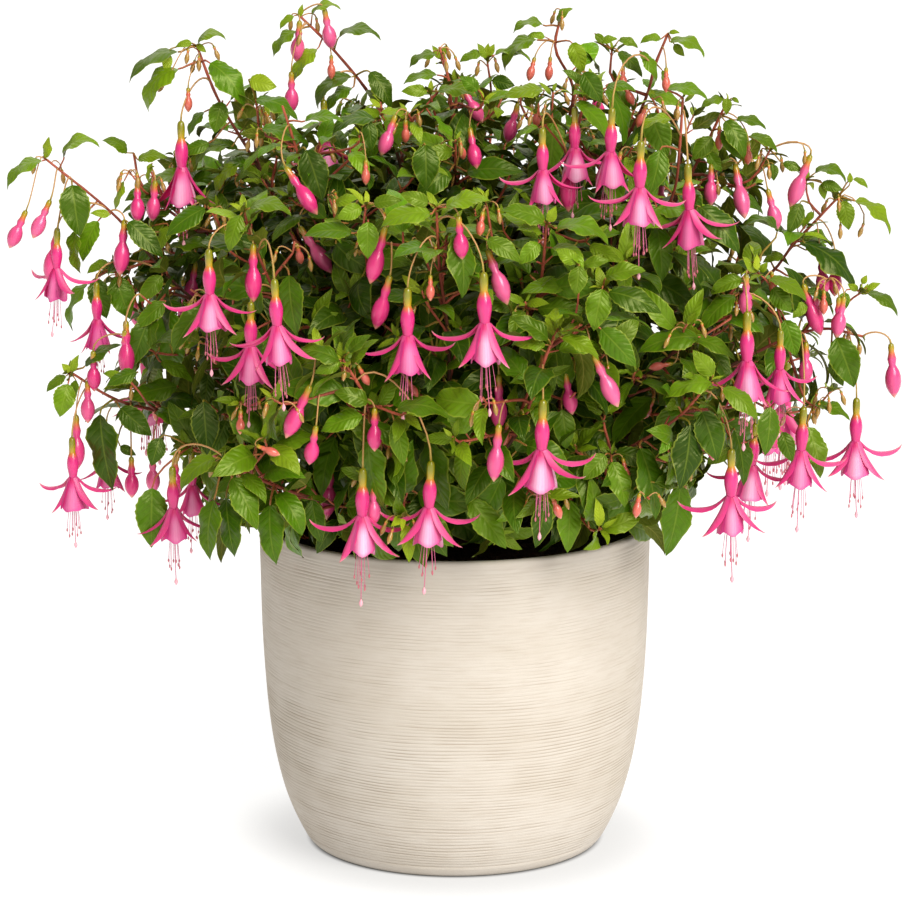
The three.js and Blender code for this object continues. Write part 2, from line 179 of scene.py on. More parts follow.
# The crown carries the stems in rings: how many, and how steeply they leave it
SEAT_RINGS = [(4, 72), (10, 45), (15, 18)]
STEM_SEAT_DEPTH = 4
STEM_FIRST_RUN = 26
STEM_FIRST_RISE = 12
STEM_RADIUS = 2.2 * MM
STEM_TIP_RADIUS = 0.85 * MM
STEM_PITCH = 6 * MM
TWIG_RADIUS = 1.1 * MM
TWIG_TIP_RADIUS = 0.7 * MM
TWIG_PITCH = 8 * MM
# How much a stem swells where leaves leave it, over what length, and how far from its tip it is old wood
NODE_SWELL = 0.2
NODE_LENGTH = 3 * MM
OLD_WOOD = 0.11

# The rounded mass of leaves that the side twigs fill
DOME_CENTRE = np.array([0.0, -0.005, 0.330])
DOME_WIDE = 0.262
DOME_DEEP = 0.232
DOME_ABOVE = 0.205
DOME_BELOW = 0.128
TWIG_TIPS = 500
TWIG_LONGEST = 0.17
TWIG_SHORTEST = 0.025
# Lower twig tips only hang outside the planter's rim
TWIG_LOWEST = 0.214
TWIG_FREE_HEIGHT = 0.24
TWIG_FREE_RADIUS = 0.118
# Places round a twig's tip that its leaves will fill
TIP_ROOM = np.array([[0, 0, 0.006], [0.008, 0, 0], [-0.008, 0, 0], [0, 0, -0.012]])
# Where a stem is sought to carry something, how far off in view is made up for by one nearer to the eye
DEPTH_PULL = 0.12

# The edge of that mass as the camera sees it, in pixels of the photograph's frame
SEEN_EDGE = [
    (250, 560), (206, 560), (198, 505), (165, 445), (112, 418), (80, 425), (60, 412), (50, 385), (80, 350),
    (125, 340), (130, 325), (105, 305), (85, 285), (88, 262), (120, 252), (140, 250), (120, 218), (128, 195),
    (145, 180), (150, 155), (175, 142), (190, 120), (203, 100), (235, 85), (262, 80), (300, 112), (330, 112),
    (362, 65), (375, 85), (392, 100), (415, 85), (410, 65), (440, 45), (452, 70), (478, 45), (500, 45),
    (531, 62), (515, 75), (545, 75), (560, 40), (585, 38), (600, 35), (640, 38), (668, 33), (660, 70),
    (668, 85), (700, 90), (738, 95), (740, 115), (766, 128), (777, 150), (803, 165), (830, 165), (850, 180),
    (868, 190), (845, 205), (850, 230), (830, 235), (850, 280), (880, 285), (880, 295), (855, 310),
    (868, 340), (858, 385), (835, 390), (850, 415), (820, 420), (830, 460), (815, 478), (800, 470),
    (795, 440), (775, 445), (755, 470), (725, 470), (700, 475), (697, 510), (668, 556), (650, 545),
    (600, 557), (520, 563), (400, 563), (310, 557),
]

# Leaf pairs: how far each lies from the tip of its stem, and how long its leaves are, in millimetres
PAIR_DISTANCES = [1, 4, 9, 17, 29, 45, 64, 86, 110, 134, 158, 182, 206]
PAIR_LENGTHS = [10, 17, 26, 34, 39, 42, 44, 45, 45, 44, 43, 42, 41]
LEAF_THICK = 0.35 * MM
# Brings the outline's widest place to the leaf's width
LEAF_PEAK = 3.41
MIDRIB_THICK = 0.45 * MM
LEAF_SIDE_VEINS = 8
# How far the teeth of the edge stand out and in, on leaves with more rows than this
LEAF_TEETH = (1.035, 0.965)
TOOTHLESS_ROWS = 8
# Leaves shorter than this have fewer rows
SMALL_LEAF = 14 * MM
# How much of a twig and of a stem, from its foot, is bare of leaves
BARE_TWIG = 0.006
BARE_STEM = 0.05
# Widths of a shown leaf at least and at most, as shares of its length
SHOWN_WIDTHS = (0.5, 0.64)

# Leaves that show one by one, in pixels of the photograph's frame: base, tip, then how many millimetres the
# leaf stands out from its stem, the width it shows in pixels, its droop in degrees and its youth in percent
SEEN_LEAVES = [
    (46, 158, 48, 136, 3, 9, 20, 100), (42, 161, 7, 190, 6, 12, 75, 25), (64, 157, 100, 147, 6, 12, 110, 35),
    (72, 185, 79, 237, 14, 34, 50, 10), (98, 221, 82, 262, 6, 20, 60, 15), (76, 230, 83, 274, 8, 14, 40, 20),
    (110, 215, 90, 212, 4, 9, 30, 60), (128, 222, 163, 258, 10, 24, 40, 0),
    (127, 153, 102, 140, 4, 12, 110, 35), (138, 160, 168, 159, 4, 12, 90, 50),
    (160, 189, 124, 201, 5, 15, 70, 15), (186, 177, 146, 196, 6, 14, 80, 20),
    (95, 279, 106, 319, 10, 26, 40, 0), (116, 277, 128, 320, 10, 28, 40, 0),
    (88, 284, 72, 331, 4, 10, 60, 10), (198, 45, 226, 40, 4, 9, 120, 50), (197, 44, 206, 53, 3, 7, 50, 80),
    (192, 43, 175, 46, 3, 8, 70, 60), (178, 52, 129, 84, 6, 11, 65, 20), (178, 69, 148, 112, 8, 18, 90, 35),
    (168, 53, 166, 74, 5, 11, 20, 90), (210, 63, 246, 105, 14, 26, 80, 0),
    (222, 102, 212, 133, 10, 21, 45, 10), (250, 79, 276, 90, 6, 24, 60, 80),
    (256, 100, 299, 119, 8, 16, 60, 0), (204, 112, 189, 137, 4, 9, 60, 10),
    (238, 150, 203, 146, 4, 10, 60, 10), (262, 129, 308, 148, 8, 16, 50, 0), (299, 17, 303, 4, 2, 6, 10, 90),
    (294, 16, 279, 29, 3, 8, 70, 50), (312, 15, 341, 10, 4, 8, 95, 50), (296, 31, 274, 58, 5, 11, 70, 40),
    (339, 37, 381, 41, 5, 11, 90, 30), (317, 49, 295, 82, 6, 14, 60, 50), (352, 77, 318, 110, 6, 15, 90, 15),
    (352, 88, 328, 113, 6, 12, 80, 15), (370, 72, 392, 108, 10, 20, 70, 10),
    (305, 121, 344, 123, 5, 11, 60, 10), (375, 120, 332, 136, 6, 14, 80, 0),
    (368, 121, 373, 151, 8, 16, 40, 0), (306, 150, 326, 200, 14, 30, 45, 0), (437, 55, 410, 70, 5, 9, 85, 30),
    (437, 75, 403, 85, 5, 10, 50, 20), (427, 91, 401, 92, 6, 13, 60, 45), (438, 91, 478, 97, 8, 13, 60, 35),
    (425, 145, 428, 190, 12, 30, 50, 5), (482, 53, 459, 62, 4, 10, 60, 30), (495, 55, 531, 62, 4, 9, 75, 30),
    (558, 22, 574, 10, 3, 9, 120, 60), (543, 25, 513, 34, 4, 9, 90, 30), (545, 37, 527, 35, 3, 8, 60, 40),
    (537, 40, 505, 72, 7, 14, 90, 30), (572, 43, 586, 72, 8, 18, 80, 50), (543, 90, 503, 100, 6, 14, 50, 60),
    (575, 103, 607, 145, 10, 17, 60, 10), (553, 121, 553, 174, 14, 28, 45, 10),
    (583, 73, 604, 101, 10, 24, 60, 0), (607, 88, 625, 146, 14, 18, 45, 0), (618, 52, 643, 77, 6, 13, 60, 20),
    (640, 52, 655, 82, 6, 12, 60, 15), (670, 42, 704, 59, 6, 11, 90, 30), (674, 44, 684, 57, 3, 9, 40, 70),
    (661, 39, 640, 44, 4, 9, 100, 30), (662, 70, 667, 89, 3, 7, 40, 30), (669, 33, 680, 33, 2, 5, 90, 70),
    (600, 42, 618, 40, 3, 8, 90, 40), (619, 40, 638, 48, 3, 9, 90, 40), (648, 93, 683, 108, 8, 14, 60, 20),
    (668, 89, 708, 100, 6, 12, 60, 15), (650, 113, 668, 157, 14, 28, 50, 5),
    (660, 150, 654, 195, 12, 24, 40, 0), (727, 98, 727, 115, 4, 11, 40, 60),
    (732, 98, 739, 103, 2, 5, 120, 60), (724, 99, 700, 108, 3, 9, 60, 30),
    (725, 121, 747, 157, 12, 21, 80, 10), (736, 120, 766, 131, 5, 10, 60, 20),
    (722, 131, 739, 161, 10, 17, 70, 5), (700, 207, 742, 251, 16, 28, 55, 0),
    (750, 136, 777, 154, 5, 11, 60, 30), (783, 163, 803, 172, 4, 10, 60, 20),
    (773, 164, 774, 181, 5, 12, 50, 20), (815, 173, 846, 182, 5, 11, 95, 30),
    (853, 179, 867, 190, 3, 7, 90, 50), (850, 183, 850, 172, 3, 6, 20, 80),
    (855, 201, 890, 235, 6, 13, 60, 60), (843, 201, 850, 230, 8, 21, 40, 50),
    (800, 203, 790, 236, 8, 17, 40, 20), (822, 183, 843, 190, 5, 12, 50, 20),
    (805, 243, 855, 290, 12, 22, 50, 0), (868, 293, 898, 316, 5, 11, 70, 30),
    (862, 284, 867, 275, 3, 9, 30, 90), (867, 288, 881, 284, 3, 7, 40, 70),
    (858, 290, 847, 284, 3, 8, 40, 70), (845, 292, 843, 312, 6, 14, 50, 20),
    (836, 338, 858, 386, 16, 36, 45, 5), (832, 358, 842, 387, 8, 16, 40, 10),
    (770, 279, 806, 303, 8, 14, 60, 50), (742, 279, 710, 295, 8, 17, 80, 30),
    (735, 296, 700, 332, 10, 20, 60, 10), (723, 388, 757, 421, 10, 18, 70, 30),
    (815, 404, 850, 421, 6, 12, 50, 15), (808, 427, 822, 478, 14, 24, 40, 30),
    (782, 432, 793, 462, 8, 18, 40, 10), (770, 407, 764, 456, 10, 22, 40, 5),
    (609, 292, 661, 315, 12, 24, 65, 10), (602, 289, 593, 331, 12, 27, 40, 20),
    (606, 278, 646, 273, 8, 18, 90, 30), (584, 265, 610, 262, 6, 12, 70, 40),
    (577, 262, 555, 250, 6, 15, 60, 40), (579, 266, 577, 296, 10, 20, 50, 35),
    (698, 337, 638, 354, 12, 24, 65, 10), (712, 383, 665, 400, 10, 17, 80, 25),
    (713, 375, 692, 350, 6, 18, 60, 50), (562, 338, 599, 360, 8, 15, 70, 60),
    (601, 329, 637, 366, 14, 26, 50, 0), (548, 339, 509, 320, 8, 18, 70, 20),
    (545, 345, 513, 345, 6, 14, 60, 40), (566, 288, 520, 292, 8, 16, 60, 20),
    (544, 221, 501, 210, 8, 18, 70, 20), (557, 228, 608, 246, 10, 18, 80, 15),
    (549, 222, 556, 206, 6, 12, 40, 80), (538, 243, 519, 264, 8, 18, 70, 20),
    (487, 240, 521, 262, 8, 18, 70, 25), (446, 207, 490, 202, 8, 16, 80, 40),
    (430, 214, 380, 225, 8, 20, 80, 35), (428, 203, 400, 193, 6, 16, 60, 50),
    (456, 233, 466, 298, 14, 26, 40, 10), (368, 222, 367, 259, 12, 22, 40, 15),
    (361, 207, 337, 219, 8, 16, 80, 30), (374, 204, 402, 200, 6, 14, 80, 40),
    (351, 233, 304, 238, 10, 18, 70, 10), (289, 275, 299, 336, 14, 26, 35, 5),
    (240, 215, 228, 252, 8, 18, 50, 30), (250, 208, 292, 215, 8, 14, 80, 40),
    (339, 360, 296, 352, 8, 17, 70, 15), (340, 362, 315, 374, 6, 14, 70, 30),
    (349, 352, 371, 334, 6, 12, 50, 20), (368, 402, 333, 392, 8, 18, 80, 30),
    (380, 405, 400, 380, 6, 14, 60, 20), (397, 409, 450, 420, 10, 18, 70, 15),
    (362, 415, 322, 435, 8, 20, 70, 10), (368, 440, 385, 508, 12, 24, 30, 5),
    (335, 437, 322, 498, 12, 26, 40, 5), (430, 440, 452, 512, 14, 26, 35, 5),
    (470, 500, 502, 552, 12, 28, 45, 15), (605, 455, 583, 480, 8, 22, 60, 20),
    (612, 462, 627, 507, 12, 22, 50, 15), (616, 452, 655, 468, 10, 20, 60, 10),
    (570, 500, 563, 553, 12, 24, 35, 10), (545, 500, 535, 548, 10, 22, 35, 0),
    (652, 398, 612, 447, 10, 24, 50, 10), (85, 366, 122, 345, 6, 11, 50, 10),
    (66, 376, 47, 393, 4, 10, 70, 40), (68, 384, 59, 417, 10, 23, 60, 25), (76, 380, 74, 402, 6, 9, 40, 40),
    (72, 372, 78, 354, 4, 9, 30, 70), (70, 372, 62, 363, 4, 8, 30, 80), (100, 414, 117, 491, 14, 31, 30, 5),
    (152, 488, 150, 548, 10, 34, 30, 0), (160, 438, 151, 466, 8, 24, 50, 0),
    (215, 458, 180, 490, 8, 18, 80, 40), (214, 500, 207, 560, 10, 22, 35, 10),
    (226, 498, 239, 557, 10, 24, 35, 0), (232, 478, 258, 530, 12, 26, 40, 10),
    (270, 505, 273, 565, 12, 27, 35, 0), (312, 500, 321, 544, 10, 22, 40, 0),
    (680, 485, 663, 556, 12, 32, 40, 0), (690, 425, 682, 490, 12, 30, 35, 0),
    (640, 448, 655, 520, 12, 28, 35, 0), (814, 212, 803, 227, 4, 8, 30, 40),
    (832, 303, 804, 290, 6, 12, 60, 5), (806, 303, 792, 318, 6, 14, 40, 40),
    (785, 320, 797, 356, 8, 24, 40, 0), (772, 288, 792, 312, 4, 20, 40, 10),
    (822, 183, 824, 200, 3, 9, 30, 50), (783, 256, 762, 262, 5, 10, 60, 60),
    (777, 232, 744, 229, 4, 9, 110, 15), (808, 250, 822, 243, 3, 9, 60, 30),
    (752, 272, 742, 256, 4, 8, 60, 90), (757, 270, 757, 254, 4, 7, 20, 100),
    (760, 272, 768, 262, 4, 8, 60, 90), (209, 143, 182, 157, 8, 14, 60, 5),
    (230, 147, 196, 168, 6, 11, 90, 30), (240, 163, 216, 195, 6, 12, 60, 60),
    (205, 208, 167, 238, 8, 20, 50, 0), (168, 226, 158, 252, 6, 12, 30, 40),
    (200, 255, 173, 266, 5, 14, 40, 5), (162, 276, 138, 302, 8, 18, 50, 20),
    (108, 262, 86, 272, 5, 11, 50, 30), (124, 181, 116, 212, 4, 7, 30, 60),
    (152, 163, 149, 183, 3, 6, 30, 60), (440, 58, 432, 45, 3, 7, 20, 70), (441, 58, 447, 44, 3, 7, 20, 70),
    (487, 58, 476, 44, 3, 8, 40, 60), (488, 56, 495, 44, 3, 8, 30, 70), (486, 56, 489, 43, 3, 7, 10, 80),
    (478, 90, 460, 76, 6, 16, 40, 0), (492, 80, 515, 86, 6, 16, 50, 0), (595, 34, 607, 44, 3, 8, 50, 40),
    (606, 88, 636, 92, 5, 10, 70, 5), (583, 84, 562, 70, 4, 10, 40, 10), (672, 120, 640, 132, 8, 10, 70, 50),
    (712, 137, 692, 160, 6, 18, 40, 30), (708, 152, 722, 172, 6, 14, 40, 10),
    (148, 320, 130, 366, 8, 26, 40, 0), (137, 372, 106, 386, 6, 14, 50, 5),
    (177, 386, 128, 403, 8, 22, 50, 10), (120, 408, 152, 436, 8, 24, 50, 0),
    (120, 446, 136, 456, 4, 10, 50, 10), (203, 402, 209, 455, 10, 30, 40, 0),
    (226, 420, 214, 456, 8, 20, 40, 5), (161, 362, 193, 383, 6, 14, 60, 20),
    (208, 374, 207, 407, 6, 16, 30, 10), (165, 302, 138, 330, 8, 18, 50, 10),
    (735, 430, 744, 486, 10, 22, 30, 0), (702, 412, 722, 460, 8, 30, 40, 0),
]

# Flowers: where the middle of the ovary hangs, the shoot that carries it, the share of that stem's length,
# the turn of the flower, how far its sepals are thrown out (front right, back right, back left, front left),
# its size, and how pale its petals are
FLOWERS = [
    ((-260, 406, 70), 1, 0.86, 10, (0.7, 0.9, 0.85, 0.2), 0.82, 0.3),
    ((-235, 371, 60), 1, 0.7, 40, (0.1, 0.6, 0.5, 0.1), 0.78, 0.2),
    ((-178, 476, 50), 3, 0.93, 30, (0.05, 0.3, 0.3, 0.05), 0.97, 0.8),
    ((-107, 447, 125), 21, 0.95, 0, (0, 0, 0, 0), 1, 0.5),
    ((-85, 491, 25), 5, 0.85, 45, (0.1, 0.5, 0.6, 0.1), 0.83, 0.5),
    ((-161, 392, 182), 4, 0.96, 45, (0.3, 0.75, 0.85, 0.2), 0.9, 0.55),
    ((-134, 357, 170), 4, 0.8, 38, (0.15, 0.6, 0.8, 0.3), 0.91, 0.4),
    ((-118, 372, 218), 4, 0.9, 52, (0.45, 0.8, 0.8, 0.2), 0.92, 0.5),
    ((-31, 366, 210), 16, 0.93, 50, (0.15, 0.85, 0.7, 0.15), 0.95, 0.3),
    ((19, 376, 225), 16, 0.97, 42, (0.2, 0.85, 0.9, 0.2), 1, 0.8),
    ((58, 291, 215), 17, 0.9, 35, (0.75, 0.9, 0.9, 0.3), 1, 1),
    ((57, 472, 165), 10, 0.84, 45, (0.1, 0.7, 0.9, 0.1), 0.83, 0.5),
    ((78, 486, 125), 10, 0.97, 55, (0.1, 0.8, 0.5, 0.1), 0.83, 0.8),
    ((102, 485, 150), 8, 0.93, 60, (0.1, 0.5, 0.85, 0.1), 0.88, 0.7),
    ((121, 463, 190), 9, 0.93, 45, (0.25, 0.9, 0.95, 0.25), 0.92, 0.6),
    ((152, 448, 150), 9, 0.97, 20, (0.6, 0.8, 0.8, 0.2), 0.92, 0.3),
    ((-61, 245, 185), 18, 0.85, 50, (0.45, 0.85, 0.9, 0.2), 0.98, 1),
    ((-16, 250, 195), 18, 0.93, 40, (0.5, 0.9, 0.9, 0.35), 0.95, 0.9),
    ((-253, 267, 90), 20, 0.93, 30, (0.5, 0.8, 0.85, 0.2), 0.85, 0.35),
    ((-230, 277, 45), 20, 0.8, 45, (0.2, 0.7, 0.6, 0.1), 0.76, 0.3),
    ((-187, 247, 130), 19, 0.97, 60, (0.2, 0.6, 0.5, 0.35), 0.87, 0.45),
    ((-174, 260, 80), 20, 0.65, 45, (0.2, 0.6, 0.7, 0.1), 0.78, 0.4),
    ((192, 350, 165), 14, 0.95, 45, (0.15, 0.5, 0.6, 0.15), 1, 0.6),
    ((214, 339, 140), 14, 0.9, 50, (0.3, 0.8, 0.6, 0.1), 0.82, 0.3),
    ((198, 276, 95), 13, 0.72, 35, (0.2, 0.85, 0.8, 0.2), 0.88, 0.7),
    ((230, 287, 110), 13, 0.85, 42, (0.3, 0.9, 0.8, 0.25), 0.92, 0.4),
    ((265, 293, 60), 13, 0.95, 40, (0.35, 0.9, 0.7, 0.35), 0.92, 0.7),
    ((183, 258, 160), 15, 0.95, 48, (0.45, 0.9, 0.9, 0.35), 0.97, 0.5),
]
OPENING_FLOWER = 4
# Flowers that other growth partly hides, so leaves may pass in front of them
HALF_HIDDEN_FLOWERS = (2, 3, 5, 12, 20, 22)
# Room that leaves keep free below an ovary, in millimetres, round it and as the eye sees it: each step has
# where it starts, where it ends and half its width
FLOWER_ROOM = [(-6, 25, 6), (25, 50, 11)]
FLOWER_VIEW = [(-9, 24, 6.5), (24, 51, 15), (51, 78, 6)]
# Flowers at the back: how many, and the first and the range of their azimuths in degrees and of their heights
BACK_FLOWERS = 18
BACK_AZIMUTHS_DEG = (28, 124)
BACK_HEIGHTS = (0.27, 0.2)

# Flowers are shaped in millimetres, with the middle of the ovary at the origin, and hang down from there.
# (height, radius) of the ovary and the tube, from the stalk down to the mouth
OVARY_AND_TUBE = [
    (6.2, 0.9), (5.6, 1.9), (4.0, 2.5), (1.0, 2.7), (-2.5, 2.5), (-5.2, 2.2), (-6.4, 2.5), (-8.5, 3.5),
    (-11.5, 4.3), (-14.5, 4.6), (-18.0, 4.2), (-21.0, 3.5), (-23.6, 3.0), (-25.6, 3.2), (-26.2, 1.8),
]
STALK_TOP = 5.6
STALK_RADIUS = 0.66
TUBE_END = -27
TUBE_LENGTH = 33
MOUTH = -24.5
HEM = -49.0
# The way each sepal leaves the tube, about the flower's own front
SEPAL_AZIMUTHS_DEG = (-30, 22, 158, 210)
SEPAL_THICK = 0.7
# Half the width of a sepal, and the radius of the skirt of petals, at shares of their length
SEPAL_HALVES = ([0, 0.12, 0.3, 0.5, 0.7, 0.86, 0.95, 1], [2.5, 2.8, 3.5, 3.8, 3.2, 1.8, 0.8, 0.12])
PETAL_RADII = ([0, 0.15, 0.3, 0.5, 0.7, 0.85, 1], [3.2, 4.4, 5.4, 6.9, 8.1, 8.8, 9.2])
PETAL_SPREAD_DEG = 62
PETAL_THICK = 0.35
PETAL_LINES = 30
STAMENS = 8
# How far below the skirt every other stamen ends
STAMEN_DROPS = (14, 19)
STAMEN_RADIUS = 0.23
ANTHER_RADII = [0.25, 0.65, 0.62, 0.2]
STYLE_LENGTH = 27
STYLE_RADIUS = 0.3
STIGMA_RADII = [0.35, 0.8, 1.2, 1.3, 0.95, 0.3]

# Buds: across and up of the middle of the body, its size and its lean to the right in degrees
BUDS = [
    (-288, 406, "medium", -25), (-272, 413, "medium", -25), (-207, 424, "medium", 0),
    (-197, 424, "medium", -5), (-218, 392, "large", -5), (-191, 503, "tiny", -35), (-173, 493, "small", 0),
    (-81, 536, "medium", 10), (-102, 528, "medium", -5), (-80, 514, "small", 0), (-106, 495, "medium", 0),
    (-45, 468, "medium", -20), (-58, 446, "small", 0), (14, 488, "medium", 30), (13, 459, "medium", 10),
    (49, 513, "small", -15), (74, 435, "large", 0), (-87, 392, "large", 35), (-103, 399, "small", 20),
    (-52, 388, "large", -15), (-173, 370, "medium", -10), (-132, 376, "large", 0), (-49, 356, "large", -15),
    (-16, 370, "small", 0), (4, 401, "medium", 5), (30, 374, "large", 20), (29, 289, "large", 0),
    (27, 256, "large", -5), (76, 297, "medium", 10), (102, 305, "large", 25), (133, 320, "small", -80),
    (127, 289, "small", -25), (-27, 303, "small", 30), (-106, 284, "large", -25), (-95, 261, "medium", -10),
    (-84, 229, "large", -5), (-53, 273, "medium", 0), (-121, 263, "small", 70), (-238, 311, "medium", 0),
    (-242, 291, "medium", 0), (-217, 325, "medium", 0), (-214, 240, "medium", 0), (-200, 242, "medium", 0),
    (-185, 240, "medium", 0), (172, 468, "small", 0), (187, 429, "large", 10), (209, 419, "medium", 15),
    (223, 436, "large", -20), (228, 456, "tiny", 0), (265, 409, "tiny", -20), (252, 408, "tiny", 0),
    (237, 352, "medium", 0), (231, 317, "medium", 0), (252, 320, "medium", 0), (252, 347, "medium", 0),
    (289, 310, "large", 5), (171, 265, "medium", 0), (-54, 222, "medium", 0), (-250, 262, "large", 0),
    (-264, 387, "large", -10), (191, 362, "medium", 0), (167, 435, "medium", 0), (249, 375, "medium", 0),
    (241, 375, "medium", 5), (237, 351, "large", 20), (252, 348, "medium", -10), (242, 360, "small", 0),
    (61, 513, "small", -5), (36, 475, "medium", -15), (-32, 472, "small", 0), (109, 507, "small", 0),
    (137, 506, "small", 0), (114, 497, "small", 25), (191, 458, "small", 0), (-216, 325, "large", 0),
    (237, 285, "tiny", 0),
]
# Lengths and radii of a bud's ovary, tube and body, in millimetres
BUD_SIZES = {
    "large": ((6.5, 2.0), (8.5, 2.7), (21.0, 5.0)),
    "medium": ((5.5, 1.8), (6.0, 2.3), (15.5, 4.4)),
    "small": ((3.4, 1.3), (2.6, 1.5), (9.8, 2.6)),
    "tiny": ((2.2, 1.0), (1.2, 1.0), (7.0, 1.6)),
}
# Shares of that length and radius down the ovary, the tube and the body
BUD_SHAPES = [
    [(0.12, 0.8), (0.45, 1.0), (0.85, 0.9)],
    [(0.12, 0.8), (0.45, 1.05), (0.92, 0.78)],
    [(0.06, 0.6), (0.17, 0.83), (0.33, 0.98), (0.5, 1.0), (0.66, 0.88), (0.81, 0.6), (0.92, 0.3),
     (1.0, 0.05)],
]
# From green, at 0, to pink
BUD_RIPENESS = {"large": 1.0, "medium": 0.85, "small": 0.42, "tiny": 0.15}
BACK_BUDS = 46
# How many shoot tips carry a cluster of unripe buds
TIP_CLUSTERS = 130
# Values that each point of a flower or a bud carries for its material
FLOWER_VALUES = ("tint", "across", "gloss")

# Colours as they look on a screen, from 0 to 255
SCREEN_COLOURS = {
    "glaze": (198, 189, 177), "pale glaze": (206, 198, 188), "glaze streak": (186, 174, 160),
    # The groove colour below is painted shade for the combed grooves
    "groove": (150, 134, 116), "soil": (30, 21, 14), "pale soil": (78, 56, 40), "soil fibre": (128, 98, 66),
    "bark": (50, 30, 20), "pale bark": (118, 82, 56), "green stem": (140, 142, 34),
    "young stem": (184, 92, 68), "stem": (136, 62, 44), "old stem": (74, 44, 26),
    # The lit greens of the leaves are lit copies of the dark ones, mixed in as painted light and shade
    "stem streak": (150, 112, 72), "leaf": (14, 46, 2), "lit leaf": (104, 154, 14),
    # The second green below is painted shade for the hollows beside the veins
    "leaf mottle": (40, 60, 3), "painted vein shade": (16, 44, 2),
    "young leaf": (98, 132, 10), "lit young leaf": (174, 188, 40),
    "leaf vein": (150, 170, 58), "leaf edge": (156, 166, 52), "underleaf": (96, 108, 28),
    "underleaf vein": (160, 152, 72), "stalk": (194, 146, 84), "stalk end": (166, 148, 46),
    "ovary top": (134, 132, 16), "ovary": (186, 156, 22), "ovary end": (218, 104, 62), "tube": (222, 44, 126),
    "sepal": (222, 36, 124), "inner sepal": (208, 8, 98), "sepal tip": (236, 150, 150),
    # The petals' pale glow below also serves as a painted highlight down the sepals
    "petal": (218, 24, 132), "petal glow": (255, 206, 232), "petal line": (240, 130, 190),
    "stamen": (218, 108, 146), "anther": (198, 104, 116), "stigma": (246, 176, 190), "bud": (222, 44, 122),
    "pale bud": (242, 124, 168), "young bud": (226, 94, 94), "green bud": (140, 146, 34),
    "bud tip": (232, 176, 130),
}
# The tint of the gloss that leaves throw back, and how far light goes in below a petal's skin
LEAF_SHEEN = (0.95, 1.0, 0.42)
PETAL_DEPTHS = (1.0, 0.3, 0.6)
PETAL_DEPTH = 0.0015


def linear(screen_colour):
    """A colour as it looks on a screen, as the numbers that light adds up in."""
    shares = np.array(screen_colour) / 255
    return np.where(shares <= 0.04045, shares / 12.92, ((shares + 0.055) / 1.055) ** 2.4)


COLOURS = {name: linear(screen_colour) for name, screen_colour in SCREEN_COLOURS.items()}

# Vectors and curves

NOISE_WAVES = 9


def draws(name, number=0):
    return np.random.default_rng(SEEDS[name] + number)


def unit(vectors):
    return vectors / np.maximum(np.linalg.norm(vectors, axis=-1, keepdims=True), 1e-12)


def turned(vector, axis, angle):
    """vector turned about a unit axis by an angle in radians."""
    along = axis * (vector @ axis)
    return along + (vector - along) * math.cos(angle) + np.cross(axis, vector) * math.sin(angle)


def smoothstep(low, high, value):
    share = np.clip((value - low) / (high - low), 0, 1)
    return share * share * (3 - 2 * share)


def smooth_noise(points, size, seed):
    """A soft random field of about -1 to 1 over rows of points, with lumps about size across."""
    waves = np.random.default_rng(seed)
    total = np.zeros(len(points))
    for _ in range(NOISE_WAVES):
        direction = unit(waves.normal(size=3))
        stretch = waves.uniform(0.7, 1.5)
        phase = waves.uniform(0, 2 * math.pi)
        total += np.sin(points @ direction * (2 * math.pi * stretch / size) + phase)
    return total / (NOISE_WAVES / 2)


def lumps(points, layers):
    """The sum of soft noises over rows of points, from (height, size, seed) rows."""
    return sum(height * smooth_noise(points, size, seed) for height, size, seed in layers)


def level_way(angle):
    return np.array([math.cos(angle), math.sin(angle), 0])


def travel_along(points):
    """How far along its line each point lies."""
    return np.concatenate([[0], np.cumsum(np.linalg.norm(np.diff(points, axis=0), axis=1))])


def running_sum(steps):
    """The places that rows of steps lead to, from the origin on."""
    return np.vstack([np.zeros(3), np.cumsum(steps, axis=0)])


def seen_at(place):
    """The point at an across, up and out of the tables."""
    across, up, out = place
    nearer = (EYE_DISTANCE - out) / EYE_DISTANCE
    return np.array([across * nearer, -out, EYE_HEIGHT + (up - EYE_HEIGHT) * nearer]) * MM


def plane_places(points):
    """The across, up and out, in millimetres, of rows of points."""
    points = points / MM
    out = -points[:, 1]
    nearer = (EYE_DISTANCE - out) / EYE_DISTANCE
    return np.stack([points[:, 0] / nearer, EYE_HEIGHT + (points[:, 2] - EYE_HEIGHT) / nearer, out], 1)


def from_frame(x, y):
    """The across and up, in millimetres, of a pixel of the photograph's frame."""
    focal = CAMERA_LENS / CAMERA_SENSOR * FRAME_WIDTH
    pitch = math.radians(CAMERA_PITCH_DEG)
    right, rise = (x - FRAME_WIDTH / 2) / focal, (FRAME_HEIGHT / 2 - y) / focal
    reach = EYE_DISTANCE / (math.cos(pitch) + rise * math.sin(pitch))
    return (CAMERA_PLACE[0] / MM + reach * right,
            EYE_HEIGHT + reach * (rise * math.cos(pitch) - math.sin(pitch)))


SEEN_EDGE_PLACES = np.array([from_frame(x, y) for x, y in SEEN_EDGE])


def inside_edge(places):
    """Whether each across and up lies inside the seen edge of the leaves."""
    start, end = SEEN_EDGE_PLACES, np.roll(SEEN_EDGE_PLACES, -1, axis=0)
    across, up = places[:, :1], places[:, 1:2]
    spans = (start[:, 1] > up) != (end[:, 1] > up)
    rise = end[:, 1] - start[:, 1]
    share = (up - start[:, 1]) / np.where(rise == 0, 1, rise)
    right_of = across < start[:, 0] + (end[:, 0] - start[:, 0]) * share
    return (spans & right_of).sum(axis=1) % 2 == 1


